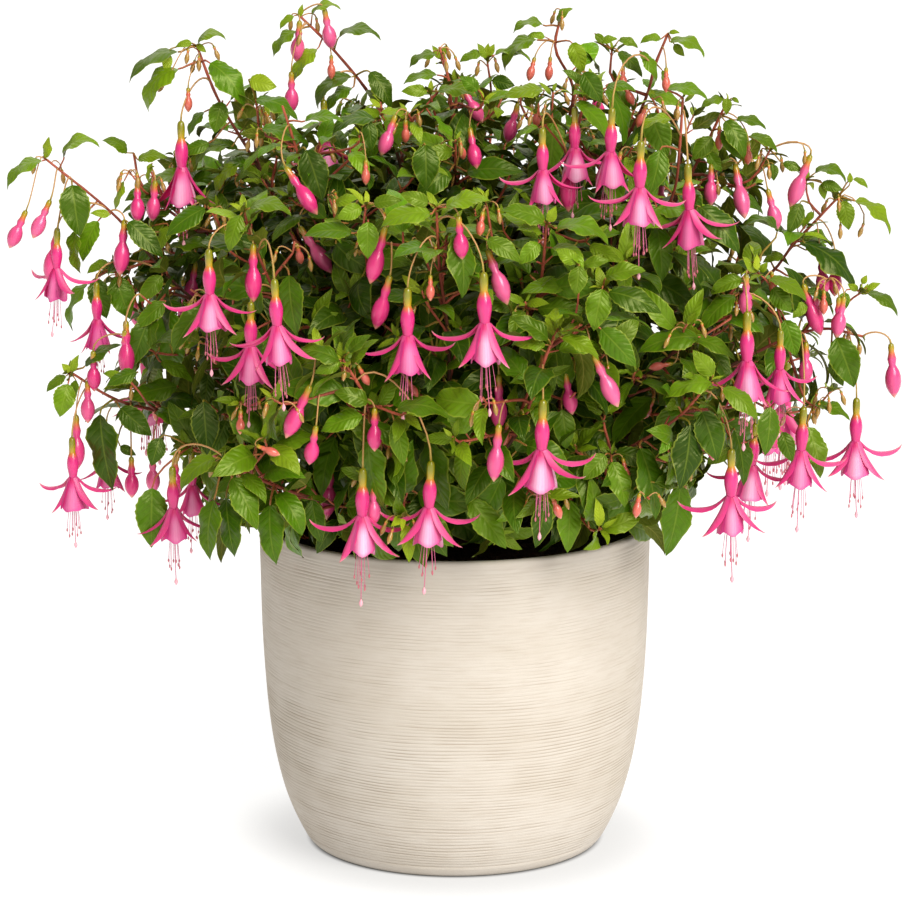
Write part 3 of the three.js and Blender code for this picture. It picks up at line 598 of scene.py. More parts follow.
def catmull_rom(points, steps):
    """A centripetal Catmull-Rom curve through the points, with that many steps between two of them."""
    knots = np.vstack([2 * points[0] - points[1], points, 2 * points[-1] - points[-2]])
    rows = []
    for i in range(1, len(knots) - 2):
        before, start, end, after = knots[i - 1:i + 3]
        gaps = [np.linalg.norm(b - a) ** 0.5 for a, b in ((before, start), (start, end), (end, after))]
        leave = (start - before) / gaps[0] - (end - before) / (gaps[0] + gaps[1]) + (end - start) / gaps[1]
        arrive = (end - start) / gaps[1] - (after - start) / (gaps[1] + gaps[2]) + (after - end) / gaps[2]
        leave, arrive = leave * gaps[1], arrive * gaps[1]
        for t in np.arange(steps) / steps:
            cubic = 2 * start - 2 * end + leave + arrive
            square = 3 * end - 3 * start - 2 * leave - arrive
            rows.append(start + t * (leave + t * (square + t * cubic)))
    return np.array(rows + [points[-1]])


def bezier(start, leave, arrive, end, steps):
    t = np.linspace(0, 1, steps + 1)[:, None]
    back = 1 - t
    return back ** 3 * start + 3 * back ** 2 * t * leave + 3 * back * t ** 2 * arrive + t ** 3 * end


def evenly_spaced(points, pitch):
    travel = travel_along(points)
    count = max(int(round(travel[-1] / pitch)), 2)
    places = np.linspace(0, travel[-1], count + 1)
    return np.stack([np.interp(places, travel, points[:, axis]) for axis in range(3)], 1)


# Mesh building

def in_scene(name, data):
    """A new object that holds the data, in the scene."""
    made = bpy.data.objects.new(name, data)
    bpy.context.scene.collection.objects.link(made)
    return made


class Piece:
    """Points, faces and values of one piece, gathered from many organs."""

    def __init__(self, *names):
        self.names = names
        self.points, self.quads, self.triangles, self.rims = [], [], [], []
        self.values = {name: [] for name in names}
        self.count = 0

    def add(self, points, quads, triangles=(), rim=False, **values):
        """Adds a body; an edge between two points of its rim stays sharp."""
        self.points.append(points)
        self.quads.append(np.asarray(quads, int).reshape(-1, 4) + self.count)
        self.triangles.append(np.asarray(triangles, int).reshape(-1, 3) + self.count)
        self.rims.append(np.broadcast_to(rim, len(points)))
        for name in self.names:
            width = 3 if name == "tint" else 1
            rows = np.asarray(values[name], float).reshape(-1, width)
            self.values[name].append(np.broadcast_to(rows, (len(points), width)))
        self.count += len(points)

    def build(self, name, material):
        """Makes the Blender object, with smooth faces and each value as an attribute."""
        mesh = bpy.data.meshes.new(name)
        points = np.vstack(self.points).astype(np.float32)
        quads, triangles = np.vstack(self.quads), np.vstack(self.triangles)
        corners = np.concatenate([quads.ravel(), triangles.ravel()]).astype(np.int32)
        starts = np.concatenate([np.arange(len(quads)) * 4, len(quads) * 4 + np.arange(len(triangles)) * 3])
        mesh.vertices.add(len(points))
        mesh.vertices.foreach_set("co", points.ravel())
        mesh.loops.add(len(corners))
        mesh.loops.foreach_set("vertex_index", corners)
        mesh.polygons.add(len(starts))
        mesh.polygons.foreach_set("loop_start", starts.astype(np.int32))
        mesh.update(calc_edges=True)
        mesh.shade_smooth()
        self.sharpen(mesh)
        for value_name in self.names:
            self.store(mesh, value_name)
        mesh.materials.append(material)
        made = in_scene(name, mesh)
        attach(made, "root")
        return made

    def sharpen(self, mesh):
        ends = np.empty(len(mesh.edges) * 2, np.int32)
        mesh.edges.foreach_get("vertices", ends)
        sharp = np.concatenate(self.rims)[ends].reshape(-1, 2).all(axis=1)
        if sharp.any():
            mesh.attributes.new("sharp_edge", "BOOLEAN", "EDGE").data.foreach_set("value", sharp)

    def store(self, mesh, value_name):
        rows = np.vstack(self.values[value_name]).astype(np.float32)
        if value_name == "tint":
            attribute = mesh.attributes.new(value_name, "FLOAT_COLOR", "POINT")
            rows = np.hstack([rows, np.ones((len(rows), 1), np.float32)])
            attribute.data.foreach_set("color", rows.ravel())
        else:
            attribute = mesh.attributes.new(value_name, "FLOAT", "POINT")
            attribute.data.foreach_set("value", rows.ravel())


def grid_quads(rows, columns, closed=False):
    """Faces over rows of points, whose last column joins the first one if closed."""
    first = np.arange(rows - 1)[:, None] * columns + np.arange(columns if closed else columns - 1)[None, :]
    beside = (first + 1) if not closed else first - first % columns + (first + 1) % columns
    return np.stack([first, first + columns, beside + columns, beside], 2).reshape(-1, 4)


def closed_sheet(grid, thick):
    """Two skins over a grid, joined all round its edge: points, faces, each point's source, and its rim."""
    rows, columns = grid.shape[:2]
    normals = unit(np.cross(np.gradient(grid, axis=0), np.gradient(grid, axis=1)))
    numbers = np.arange(rows * columns).reshape(rows, columns)
    inner = numbers[1:-1, 1:-1]
    upper = grid.copy()
    upper[1:-1, 1:-1] += normals[1:-1, 1:-1] * thick / 2
    lower = (grid - normals * thick / 2)[1:-1, 1:-1]
    below = numbers.copy()
    below[1:-1, 1:-1] = rows * columns + np.arange(inner.size).reshape(inner.shape)
    quads = grid_quads(rows, columns)
    rim = np.ones(rows * columns + inner.size, bool)
    rim[inner.ravel()] = False
    rim[rows * columns:] = False
    points = np.vstack([upper.reshape(-1, 3), lower.reshape(-1, 3)])
    return points, np.vstack([quads, below.ravel()[quads[:, ::-1]]]), np.append(numbers, inner), rim


def frames_along(points):
    """Directions along a line, and two more square to it that turn with it as little as can be."""
    tangents = unit(np.gradient(points, axis=0))
    normal = UP if abs(tangents[0] @ UP) < 0.9 else np.array([1.0, 0, 0])
    normals = []
    for tangent in tangents:
        normal = unit(normal - tangent * (normal @ tangent))
        normals.append(normal)
    normals = np.array(normals)
    return tangents, normals, np.cross(tangents, normals)


@functools.lru_cache(maxsize=None)
def tube_faces(count, sides):
    """Faces of a round body of count rings, closed at both ends."""
    quads = grid_quads(count, sides, closed=True)[:, ::-1]
    first = np.arange(sides)
    last = first + (count - 1) * sides
    if sides == 3:
        return quads, np.stack([first[::-1], last])
    if sides == 4:
        return np.vstack([quads, first[::-1], last]), np.zeros((0, 3), int)
    start_fan = np.stack([np.zeros(sides - 2, int), first[2:], first[1:-1]], 1)
    end_fan = np.stack([np.full(sides - 2, last[0]), last[1:-1], last[2:]], 1)
    return quads, np.vstack([start_fan, end_fan])


def tube(points, radii, sides, ridges=0.0):
    """A closed round body along a line, with each point's share of the length; ridges gives it four seams."""
    _, normals, across = frames_along(points)
    angles = np.arange(sides) * 2 * math.pi / sides
    swell = 1 + ridges * np.cos(4 * angles)
    rings = normals[:, None] * np.cos(angles)[None, :, None] + across[:, None] * np.sin(angles)[None, :, None]
    rings = points[:, None] + rings * (np.asarray(radii)[:, None] * swell[None, :])[:, :, None]
    quads, triangles = tube_faces(len(points), sides)
    along = np.repeat(np.linspace(0, 1, len(points)), sides)
    around = np.tile(angles / math.pi - 1, len(points))
    return rings.reshape(-1, 3), quads, triangles, along, around


def spun(profile, segments):
    """A body turned about Z from (radius, height) rows that start and end on the axis."""
    rows = np.array(profile, float)
    angles = np.arange(segments) * 2 * math.pi / segments
    inner = rows[1:-1]
    radii, heights = (np.repeat(inner[:, i], segments).reshape(-1, segments) for i in (0, 1))
    points = np.stack([radii * np.cos(angles), radii * np.sin(angles), heights], 2).reshape(-1, 3)
    points = np.vstack([points, [0, 0, rows[0, 1]], [0, 0, rows[-1, 1]]])
    quads = grid_quads(len(inner), segments, closed=True)[:, ::-1]
    first = np.arange(segments)
    after = (first + 1) % segments
    last = (len(inner) - 1) * segments
    start_cap = np.stack([np.full(segments, len(points) - 2), after, first], 1)
    end_cap = np.stack([np.full(segments, len(points) - 1), first + last, after + last], 1)
    return points, quads, np.vstack([start_cap, end_cap])


# Materials

def node(tree, kind, inputs=None, **settings):
    made = tree.nodes.new(kind)
    for key, value in settings.items():
        setattr(made, key, value)
    for key, value in (inputs or {}).items():
        if isinstance(value, bpy.types.NodeSocket):
            tree.links.new(value, made.inputs[key])
        else:
            made.inputs[key].default_value = value
    return made


def sums(tree, operation, first, second=0.0):
    return node(tree, "ShaderNodeMath", {0: first, 1: second}, operation=operation).outputs[0]


def product(tree, first, second):
    return sums(tree, "MULTIPLY", first, second)


def added(tree, first, second):
    return sums(tree, "ADD", first, second)


def between(tree, value, low, high, start=0.0, end=1.0):
    """start up to low, end from high on, and a smooth change between them."""
    inputs = {"Value": value, "From Min": low, "From Max": high, "To Min": start, "To Max": end}
    return node(tree, "ShaderNodeMapRange", inputs, interpolation_type="SMOOTHSTEP").outputs[0]


def colour_socket(colour):
    return colour if isinstance(colour, bpy.types.NodeSocket) else (*colour, 1.0)


def blended(tree, share, first, second, blend="MIX"):
    inputs = {0: share, 6: colour_socket(first), 7: colour_socket(second)}
    return node(tree, "ShaderNodeMix", inputs, data_type="RGBA", blend_type=blend).outputs[2]


def value_of(tree, name):
    made = node(tree, "ShaderNodeAttribute", attribute_name=name)
    return made.outputs["Color"] if name == "tint" else made.outputs["Fac"]


def speckle(tree, scale, detail=3.0, roughness=0.6, stretch=None):
    """A noise pattern on the object's own coordinates, with scale in lumps a metre."""
    place = node(tree, "ShaderNodeTexCoord").outputs["Object"]
    if stretch:
        place = node(tree, "ShaderNodeMapping", {"Vector": place, "Scale": stretch}).outputs[0]
    inputs = {"Vector": place, "Scale": scale, "Detail": detail, "Roughness": roughness}
    return node(tree, "ShaderNodeTexNoise", inputs).outputs["Fac"]


def bumped(tree, height, strength, distance):
    inputs = {"Strength": strength, "Distance": distance, "Height": height}
    return node(tree, "ShaderNodeBump", inputs).outputs["Normal"]


def new_material(name, specular=0.5):
    material = bpy.data.materials.new(name)
    material.use_nodes = True
    tree = material.node_tree
    shader = tree.nodes["Principled BSDF"]
    shader.inputs["Specular IOR Level"].default_value = specular
    return material, tree, shader


def finish_material(tree, shader, colour, roughness, normal=None):
    tree.links.new(colour, shader.inputs["Base Color"])
    if isinstance(roughness, bpy.types.NodeSocket):
        tree.links.new(roughness, shader.inputs["Roughness"])
    else:
        shader.inputs["Roughness"].default_value = roughness
    if normal is not None:
        tree.links.new(normal, shader.inputs["Normal"])


def planter_material():
    material, tree, shader = new_material("planter_ceramic", specular=0.25)
    groove = value_of(tree, "groove")
    broad = speckle(tree, 11, detail=4, stretch=(1, 1, 2.2))
    streaks = speckle(tree, 55, detail=5, stretch=(1, 1, 11))
    colour = blended(tree, between(tree, broad, 0.3, 0.7), COLOURS["glaze"], COLOURS["pale glaze"])
    colour = blended(tree, between(tree, streaks, 0.42, 0.75, 0, 0.4), colour, COLOURS["glaze streak"])
    # Painted shade: the grooves of the combing are darkened by their depth
    colour = blended(tree, between(tree, groove, 0.15, 0.9, 0, 0.72), colour, COLOURS["groove"])
    grain = speckle(tree, 900, detail=3)
    rough = between(tree, streaks, 0.3, 0.7, 0.78, 0.92)
    height = added(tree, grain, product(tree, streaks, 2.0))
    finish_material(tree, shader, colour, rough, bumped(tree, height, 0.25, 0.0004))
    return material


def soil_material():
    material, tree, shader = new_material("potting_soil", specular=0.2)
    crumbs = speckle(tree, 260, detail=6, roughness=0.7)
    fibres = speckle(tree, 900, detail=3, stretch=(1, 0.3, 1))
    colour = blended(tree, between(tree, crumbs, 0.35, 0.7), COLOURS["soil"], COLOURS["pale soil"])
    colour = blended(tree, between(tree, fibres, 0.62, 0.75, 0, 0.5), colour, COLOURS["soil fibre"])
    finish_material(tree, shader, colour, 0.95, bumped(tree, crumbs, 0.9, 0.002))
    return material


def bark_material():
    material, tree, shader = new_material("old_wood", specular=0.25)
    fissures = speckle(tree, 150, detail=6, roughness=0.7, stretch=(1, 1, 0.35))
    colour = blended(tree, between(tree, fissures, 0.35, 0.65), COLOURS["bark"], COLOURS["pale bark"])
    finish_material(tree, shader, colour, 0.9, bumped(tree, fissures, 0.8, 0.0015))
    return material


def stem_material():
    """age runs from 0, a green leaf stalk, over 0.5, a young red stem, to 1, old brown wood."""
    material, tree, shader = new_material("stem", specular=0.3)
    age = value_of(tree, "age")
    streaks = speckle(tree, 700, detail=4, stretch=(1, 1, 0.25))
    colour = blended(tree, between(tree, age, 0.02, 0.22), COLOURS["green stem"], COLOURS["young stem"])
    colour = blended(tree, between(tree, age, 0.28, 0.55), colour, COLOURS["stem"])
    colour = blended(tree, between(tree, age, 0.55, 0.9), colour, COLOURS["old stem"])
    streaked = between(tree, streaks, 0.4, 0.7, 0, 0.4)
    colour = blended(tree, streaked, colour, COLOURS["stem streak"], "MULTIPLY")
    finish_material(tree, shader, colour, between(tree, age, 0.3, 0.9, 0.45, 0.8),
                    bumped(tree, streaks, 0.35, 0.0004))
    return material


def leaf_veins(tree, along, out):
    """The midrib and the side veins that leave it, from 0 to 1, and how plump the blade is between them."""
    midrib = between(tree, out, 0.02, 0.09, 1, 0)
    valley = between(tree, out, 0.0, 0.3)
    slant = sums(tree, "SUBTRACT", product(tree, along, LEAF_SIDE_VEINS), product(tree, out, 1.7))
    cell = sums(tree, "ABSOLUTE", sums(tree, "SUBTRACT", sums(tree, "FRACT", slant), 0.5))
    side = product(tree, between(tree, cell, 0.38, 0.5), between(tree, out, 0.5, 1.0, 1, 0.25))
    plump = product(tree, between(tree, cell, 0.1, 0.5, 1, 0), valley)
    return sums(tree, "MAXIMUM", midrib, product(tree, side, 0.45)), plump


def leaf_material():
    """A glossy green blade with lighter veins and edge, painted shade in the hollows beside its veins, a
    green between shaded and lit that carries painted light and shade, and a paler and duller underside.
    """
    material, tree, shader = new_material("leaf", specular=0.42)
    shader.inputs["Specular Tint"].default_value = (*LEAF_SHEEN, 1)
    along, across = value_of(tree, "along"), value_of(tree, "across")
    age, tone, under = value_of(tree, "age"), value_of(tree, "tone"), value_of(tree, "under")
    out = sums(tree, "ABSOLUTE", across)
    vein, plump = leaf_veins(tree, along, out)
    mottle = speckle(tree, 220, detail=4)
    ripple = speckle(tree, 75, detail=2)
    # Painted light and shade: each leaf is mixed between a shaded and a lit copy of its green
    deep = blended(tree, tone, COLOURS["leaf"], COLOURS["lit leaf"])
    deep = blended(tree, between(tree, mottle, 0.35, 0.7, 0, 0.25), deep, COLOURS["leaf mottle"])
    young = blended(tree, tone, COLOURS["young leaf"], COLOURS["lit young leaf"])
    colour = blended(tree, age, deep, young)
    # Painted shade in the hollows beside the side veins and along the midrib
    painted_vein_shade_share = between(tree, plump, 0.0, 0.8, 0.12, 0)
    colour = blended(tree, painted_vein_shade_share, colour, COLOURS["painted vein shade"])
    colour = blended(tree, product(tree, vein, 0.22), colour, COLOURS["leaf vein"])
    edge = between(tree, out, 0.86, 1.0, 0, 0.5)
    colour = blended(tree, edge, colour, COLOURS["leaf edge"])
    below = blended(tree, product(tree, vein, 0.6), COLOURS["underleaf"], COLOURS["underleaf vein"])
    colour = blended(tree, between(tree, under, 0.0, 0.1), colour, below)
    rough = added(tree, between(tree, mottle, 0.3, 0.7, 0.29, 0.4), product(tree, under, 0.3))
    height = added(tree, product(tree, mottle, 0.12), product(tree, plump, 0.18))
    height = added(tree, height, product(tree, ripple, 1.5))
    finish_material(tree, shader, colour, rough, bumped(tree, height, 0.8, 0.0012))
    return material


def flower_material(name, glow):
    """Petals, buds and stalks: the colour runs along each organ, with fine lines down its length."""
    material, tree, shader = new_material(name, specular=0.75)
    tint, across, gloss = value_of(tree, "tint"), value_of(tree, "across"), value_of(tree, "gloss")
    mottle = speckle(tree, 420, detail=3)
    wander = added(tree, product(tree, across, PETAL_LINES), product(tree, mottle, 4.0))
    matt = sums(tree, "SUBTRACT", 1.0, gloss)
    lines = product(tree, between(tree, sums(tree, "SINE", wander), 0.3, 1.0, 0, 0.22), matt)
    deeper = blended(tree, 1.0, tint, COLOURS["petal line"], "MULTIPLY")
    shader.inputs["Subsurface Weight"].default_value = glow
    shader.inputs["Subsurface Radius"].default_value = PETAL_DEPTHS
    shader.inputs["Subsurface Scale"].default_value = PETAL_DEPTH
    finish_material(tree, shader, blended(tree, lines, tint, deeper), between(tree, gloss, 0, 1, 0.6, 0.26),
                    bumped(tree, lines, 0.3, 0.0002))
    return material


# Planter

def pot_radius(height):
    return POT_RIM_RADIUS - (POT_RIM_RADIUS - POT_FOOT_RADIUS) * np.exp(-POT_SWELL * height / POT_HEIGHT)


def rib_rows():
    """(height, groove share) up the combed wall, with an uneven pitch as a comb leaves it."""
    uneven = draws("ribs")
    rows = []
    height = RIB_FIRST_HEIGHT
    while height < RIB_LAST_HEIGHT:
        pitch = RIB_PITCH * uneven.uniform(*RIB_PITCHES)
        depth = uneven.uniform(*RIB_DEPTHS)
        rows += [(height + share * pitch, groove * depth) for share, groove in RIB_ROWS]
        height += pitch
    return rows + [(height, 0.5)]


def planter_rows():
    """(radius, height, groove, outside) from under the middle, up outside, over the rim and down inside."""
    wall = np.array([pot_radius(POT_FOOT_ROUNDING), POT_FOOT_ROUNDING])
    rests = np.array([wall[0] - POT_FOOT_ROUNDING, 0])
    turn = np.array([pot_radius(0) + POT_FOOT_FULLNESS, 0])
    rows = [(0, 0, 0, 1), (rests[0] * 0.5, 0, 0, 1)]
    for share in np.linspace(0, 1, 7):
        radius, height = (1 - share) ** 2 * rests + 2 * share * (1 - share) * turn + share ** 2 * wall
        rows.append((radius, height, 0, 1))
    rows += [(pot_radius(height), height, groove, 1) for height, groove in rib_rows()]
    shoulder = POT_HEIGHT - POT_RIM_ROUNDING
    outside = pot_radius(POT_HEIGHT)
    for angle in np.linspace(0, math.pi / 2, 5):
        rows.append((outside - POT_RIM_ROUNDING * (1 - math.cos(angle)),
                     shoulder + POT_RIM_ROUNDING * math.sin(angle), 0, 0))
    for angle in np.linspace(math.pi / 2, math.pi, 5):
        rows.append((outside - POT_WALL + POT_RIM_ROUNDING * (1 + math.cos(angle)),
                     shoulder + POT_RIM_ROUNDING * math.sin(angle), 0, 0))
    inside = np.linspace(POT_INSIDE_TOP, POT_FLOOR, 8)
    rows += [(pot_radius(height) - POT_WALL, height, 0, 0) for height in inside]
    return rows + [(POT_FLOOR_RING, POT_FLOOR, 0, 0), (0, POT_FLOOR, 0, 0)]


def wave_sum(waves, around, height):
    """The sum of a table's waves at each turn round the wall and height up it."""
    return sum(size * np.sin(number * around + rise * height + start) for size, number, rise, start in waves)


def groove_strength(around, height):
    """How deep the combing bites: uneven from patch to patch, and faint in the upper middle."""
    patch = wave_sum(GROOVE_WAVES, around, height) / len(GROOVE_WAVES)
    crispness = 1 - 0.4 * smoothstep(95, 150, height) + 0.2 * smoothstep(170, 205, height)
    return np.clip(crispness * (0.85 + 0.45 * patch), 0.2, 1)


def make_planter():
    rows = np.array(planter_rows(), float)
    points, quads, triangles = spun(rows[:, :2], POT_SEGMENTS)
    groove, outside = (np.append(np.repeat(rows[1:-1, i], POT_SEGMENTS), [0, 0]) for i in (2, 3))
    around = np.arctan2(points[:, 1], points[:, 0])
    height = points[:, 2]
    on_wall = smoothstep(6, 20, height) * smoothstep(216, 205, height) * outside
    lift = wave_sum(LIFT_WAVES, around, height) * on_wall
    depth = groove * groove_strength(around, height)
    inward = (RIB_DEPTH * depth + lumps(points, WALL_LUMPS) * on_wall) * outside
    points = points - unit(points * [1, 1, 0]) * inward[:, None]
    points[:, 2] += lift
    # The groove depth also sets the painted shade in the grooves' colour
    piece = Piece("groove")
    piece.add(points * MM, quads, triangles, groove=depth)
    made = piece.build("planter_shell", planter_material())
    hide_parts("planter")


# Soil and crown

def soil_rows():
    """(radius, height) from under the soil's middle, up its side, in to the crown, and the edge's radius."""
    floor = POT_FLOOR + SOIL_GAP
    rows = [(0, floor), (POT_FLOOR_RING, floor)]
    for height in np.linspace(floor, SOIL_EDGE_HEIGHT, 8):
        rows.append((pot_radius(height) - POT_WALL - SOIL_GAP, height))
    edge = rows[-1][0]
    rise = SOIL_MIDDLE_HEIGHT - SOIL_EDGE_HEIGHT
    for share in np.linspace(0.985, CROWN_RADIUS * 1.05 / edge, 26):
        rows.append((edge * share, SOIL_EDGE_HEIGHT + rise * (1 - share) * 1.6))
    return rows + [(0, SOIL_MIDDLE_HEIGHT - 4)], edge


def add_crumb(piece, edge, scatter):
    """A crumb that lies somewhere between the crown and the soil's edge."""
    nearest = CROWN_RADIUS * 1.2
    reach = nearest + (edge - 8 - nearest) * scatter.uniform() ** 0.6
    turn = scatter.uniform(0, 2 * math.pi)
    size = scatter.uniform(*CRUMB_SIZES)
    middle = np.array([reach * math.cos(turn), reach * math.sin(turn), CRUMB_HEIGHT])
    lean = unit(scatter.normal(size=3))
    steps = np.linspace(-1, 1, 5)
    radii = size * 0.8 * np.sqrt(np.clip(1.02 - steps ** 2, 0.02, 1))
    crumb, quads, caps, _, _ = tube(middle + steps[:, None] * lean * size, radii, 5)
    crumb += 0.25 * size * smooth_noise(crumb, 3, int(scatter.integers(1000)))[:, None] * lean
    piece.add(crumb * MM, quads, caps)


def make_soil():
    rows, edge = soil_rows()
    points, quads, triangles = spun(rows, SOIL_SEGMENTS)
    on_top = smoothstep(SOIL_EDGE_HEIGHT - 1, SOIL_EDGE_HEIGHT + 0.2, points[:, 2])
    points[:, 2] += (lumps(points, SOIL_LUMPS) - 0.6) * on_top
    piece = Piece()
    piece.add(points * MM, quads, triangles)
    scatter = draws("crumbs")
    for _ in range(CRUMBS):
        add_crumb(piece, edge, scatter)
    made = piece.build("potting_soil_crumbs", soil_material())
    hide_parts("potting_soil")


def make_crown():
    girths, girth_heights = np.array(CROWN_GIRTHS).T
    heights = np.linspace(CROWN_BOTTOM, CROWN_TOP, CROWN_ROWS)
    rows = [(np.interp(height, girth_heights, girths * CROWN_RADIUS), height) for height in heights]
    points, quads, triangles = spun([(0, CROWN_BOTTOM)] + rows + [(0, CROWN_TOP)], CROWN_SEGMENTS)
    points += unit(points - [0, 0, SOIL_MIDDLE_HEIGHT]) * (lumps(points, CROWN_LUMPS) - 1.2)[:, None]
    piece = Piece()
    piece.add(points * MM, quads, triangles)
    made = piece.build("woody_crown_bark", bark_material())
    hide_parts("woody_crown")


# Stems

class Stem:
    """The centre line of one stem, from where it leaves its carrier to its tip."""

    def __init__(self, points, shoot, is_twig=False, open_tip=0.0):
        self.points = points
        self.travel = travel_along(points)
        self.length = self.travel[-1]
        self.shoot = shoot
        self.is_twig = is_twig
        self.open_tip = open_tip
        self.start_radius = TWIG_RADIUS if is_twig else STEM_RADIUS
        self.tip_radius = TWIG_TIP_RADIUS if is_twig else STEM_TIP_RADIUS

    def place(self, from_tip):
        """The point that far from the tip, and the stem's direction there."""
        along = min(max(self.length - from_tip, 0), self.length)
        point = np.array([np.interp(along, self.travel, self.points[:, axis]) for axis in range(3)])
        after = min(max(int(np.searchsorted(self.travel, along)), 1), len(self.points) - 1)
        return point, unit(self.points[after] - self.points[after - 1])

    def radius(self, share):
        """The radius at a share of the length from its carrier."""
        return self.tip_radius + (self.start_radius - self.tip_radius) * (1 - share) ** 1.5

    def add_to(self, piece):
        radii = self.radius(np.linspace(0, 1, len(self.points)))
        for from_tip in PAIR_DISTANCES[3:]:
            swell = np.exp(-((self.travel - (self.length - from_tip * MM)) / NODE_LENGTH) ** 2)
            radii = radii * (1 + NODE_SWELL * swell)
        body, quads, caps, along, _ = tube(self.points, radii, 4 if self.is_twig else 6)
        age = np.clip(0.2 + (1 - along) * self.length / OLD_WOOD * 0.8, 0, 0.75 if self.is_twig else 1.0)
        piece.add(body, quads, caps, age=age)


def seat_directions(tips):
    """The way each stem leaves the crown, spread evenly round its ring in the order of the tips."""
    middle = SOIL_MIDDLE_HEIGHT * MM
    order = [(i, math.atan2(tip[1], tip[0]), (tip[2] - middle) / math.hypot(tip[0], tip[1]))
             for i, tip in enumerate(tips)]
    order.sort(key=lambda row: -row[2])
    directions = {}
    for count, steepness in SEAT_RINGS:
        members = sorted(order[:count], key=lambda row: row[1])
        order = order[count:]
        pitch = 2 * math.pi / count
        lead = sum(row[1] - i * pitch for i, row in enumerate(members)) / count
        level, rise = math.cos(math.radians(steepness)), math.sin(math.radians(steepness))
        for i, row in enumerate(members):
            turn = lead + i * pitch
            directions[row[0]] = np.array([level * math.cos(turn), level * math.sin(turn), rise])
    return directions


def main_stems():
    routes = [np.array([seen_at(place) for place in route]) for route in SHOOT_ROUTES]
    directions = seat_directions([route[-1] for route in routes])
    seat_radius = CROWN_RADIUS - STEM_SEAT_DEPTH
    seat_height = CROWN_TOP - SOIL_MIDDLE_HEIGHT - STEM_SEAT_DEPTH
    stems = []
    for i, route in enumerate(routes):
        start = (directions[i] * [seat_radius, seat_radius, seat_height] + [0, 0, SOIL_MIDDLE_HEIGHT]) * MM
        run = start + directions[i] * STEM_FIRST_RUN * MM + UP * STEM_FIRST_RISE * MM
        points = evenly_spaced(catmull_rom(np.vstack([start, run, route]), 24), STEM_PITCH)
        stems.append(Stem(points, i, open_tip=OPEN_TIP * MM if i + 1 in OPEN_SHOOTS else 0.0))
    return stems


def dome_reach(direction):
    """How far the mass of leaves reaches from its centre in a direction."""
    high = DOME_ABOVE if direction[2] > 0 else DOME_BELOW
    return 1 / math.sqrt((direction[0] / DOME_WIDE) ** 2 + (direction[1] / DOME_DEEP) ** 2
                         + (direction[2] / high) ** 2)


def depth_in_dome(point):
    """0 at the centre of the mass of leaves and 1 at its outside."""
    gap = point - DOME_CENTRE
    return np.linalg.norm(gap) / dome_reach(unit(gap))


def twig_targets(chance):
    """Tips for the side twigs, spread evenly through the outer part of the mass of leaves."""
    targets = []
    golden = math.pi * (3 - math.sqrt(5))
    for i in range(TWIG_TIPS):
        height = 1 - 2 * (i + 0.5) / TWIG_TIPS
        level = math.sqrt(1 - height * height)
        direction = np.array([level * math.cos(golden * i), level * math.sin(golden * i), height])
        reach = dome_reach(direction) * (1 - 0.5 * chance.uniform() ** 1.1)
        while reach > 0.05:
            target = DOME_CENTRE + direction * reach
            if inside_edge(plane_places(target + TIP_ROOM)).all():
                break
            reach -= 0.01
        free = math.hypot(target[0], target[1]) > TWIG_FREE_RADIUS or target[2] > TWIG_FREE_HEIGHT
        if free and target[2] > TWIG_LOWEST:
            targets.append(target)
    return targets


def twig_line(start, direction, target, via=None):
    """A line from a stem that leaves it outwards and ends turning up, as a side twig grows."""
    if via is not None:
        points = catmull_rom(np.stack([start, via, target]), 8)
        return evenly_spaced(points, TWIG_PITCH)
    gap = np.linalg.norm(target - start)
    outwards = unit((target - DOME_CENTRE) * [1, 1, 0.5])
    leave = start + (unit(direction * 0.7 + unit(target - start))) * gap * 0.33
    arrive = target - unit(outwards * 0.75 + UP * 0.8) * gap * 0.33
    return evenly_spaced(bezier(start, leave, arrive, target, 16), TWIG_PITCH)


class Nodes:
    """Points along stems that twigs, leaves, buds and flowers can grow from."""

    def __init__(self, stems, shares=(0.3, 0.95), pitch=0.012):
        self.points, self.ways, self.shoots = [], [], []
        for stem in stems:
            count = max(int(stem.length * (shares[1] - shares[0]) / pitch), 2)
            for share in np.linspace(*shares, count):
                point, direction = stem.place(stem.length * (1 - share))
                self.points.append(point)
                self.ways.append(direction)
                self.shoots.append(stem.shoot)
        self.points, self.ways = np.array(self.points), np.array(self.ways)
        self.seen = plane_places(self.points)

    def nearest_seen(self, across, up):
        """The node that lies nearest a place as the eye sees it, the more willingly the further out it is."""
        cost = np.hypot(self.seen[:, 0] - across, self.seen[:, 1] - up) - DEPTH_PULL * self.seen[:, 2]
        return int(np.argmin(cost))


def seen_twigs(nodes):
    twigs = []
    for way_x, way_y, tip_x, tip_y, out in SEEN_TWIGS:
        target = seen_at((*from_frame(tip_x, tip_y), out))
        via = seen_at((*from_frame(way_x, way_y), out - 6))
        below = np.linalg.norm(nodes.points - via, axis=1) + (nodes.points[:, 2] > via[2]) * 0.03
        best = int(np.argmin(below + (below < 0.012) * 0.05))
        line = twig_line(nodes.points[best], nodes.ways[best], target, via)
        twigs.append(Stem(line, nodes.shoots[best], is_twig=True, open_tip=0.03))
    return twigs


def side_twigs(nodes, chance):
    """Twigs to every target, each from the node that reaches it best from nearer the crown."""
    used = np.zeros(len(nodes.points))
    twigs = []
    for target in twig_targets(chance):
        gaps = np.linalg.norm(target - nodes.points, axis=1)
        outward = np.sum(unit(target - nodes.points) * unit(target - DOME_CENTRE), axis=1)
        cost = gaps * (1.7 - outward) + used * 0.02 + (gaps < TWIG_SHORTEST) * 0.2 + (outward < 0.1) * 0.3
        best = int(np.argmin(cost))
        if gaps[best] > TWIG_LONGEST:
            continue
        used[best] += 1
        line = twig_line(nodes.points[best], nodes.ways[best], target)
        twigs.append(Stem(line, nodes.shoots[best], is_twig=True))
    return twigs


# Leaves

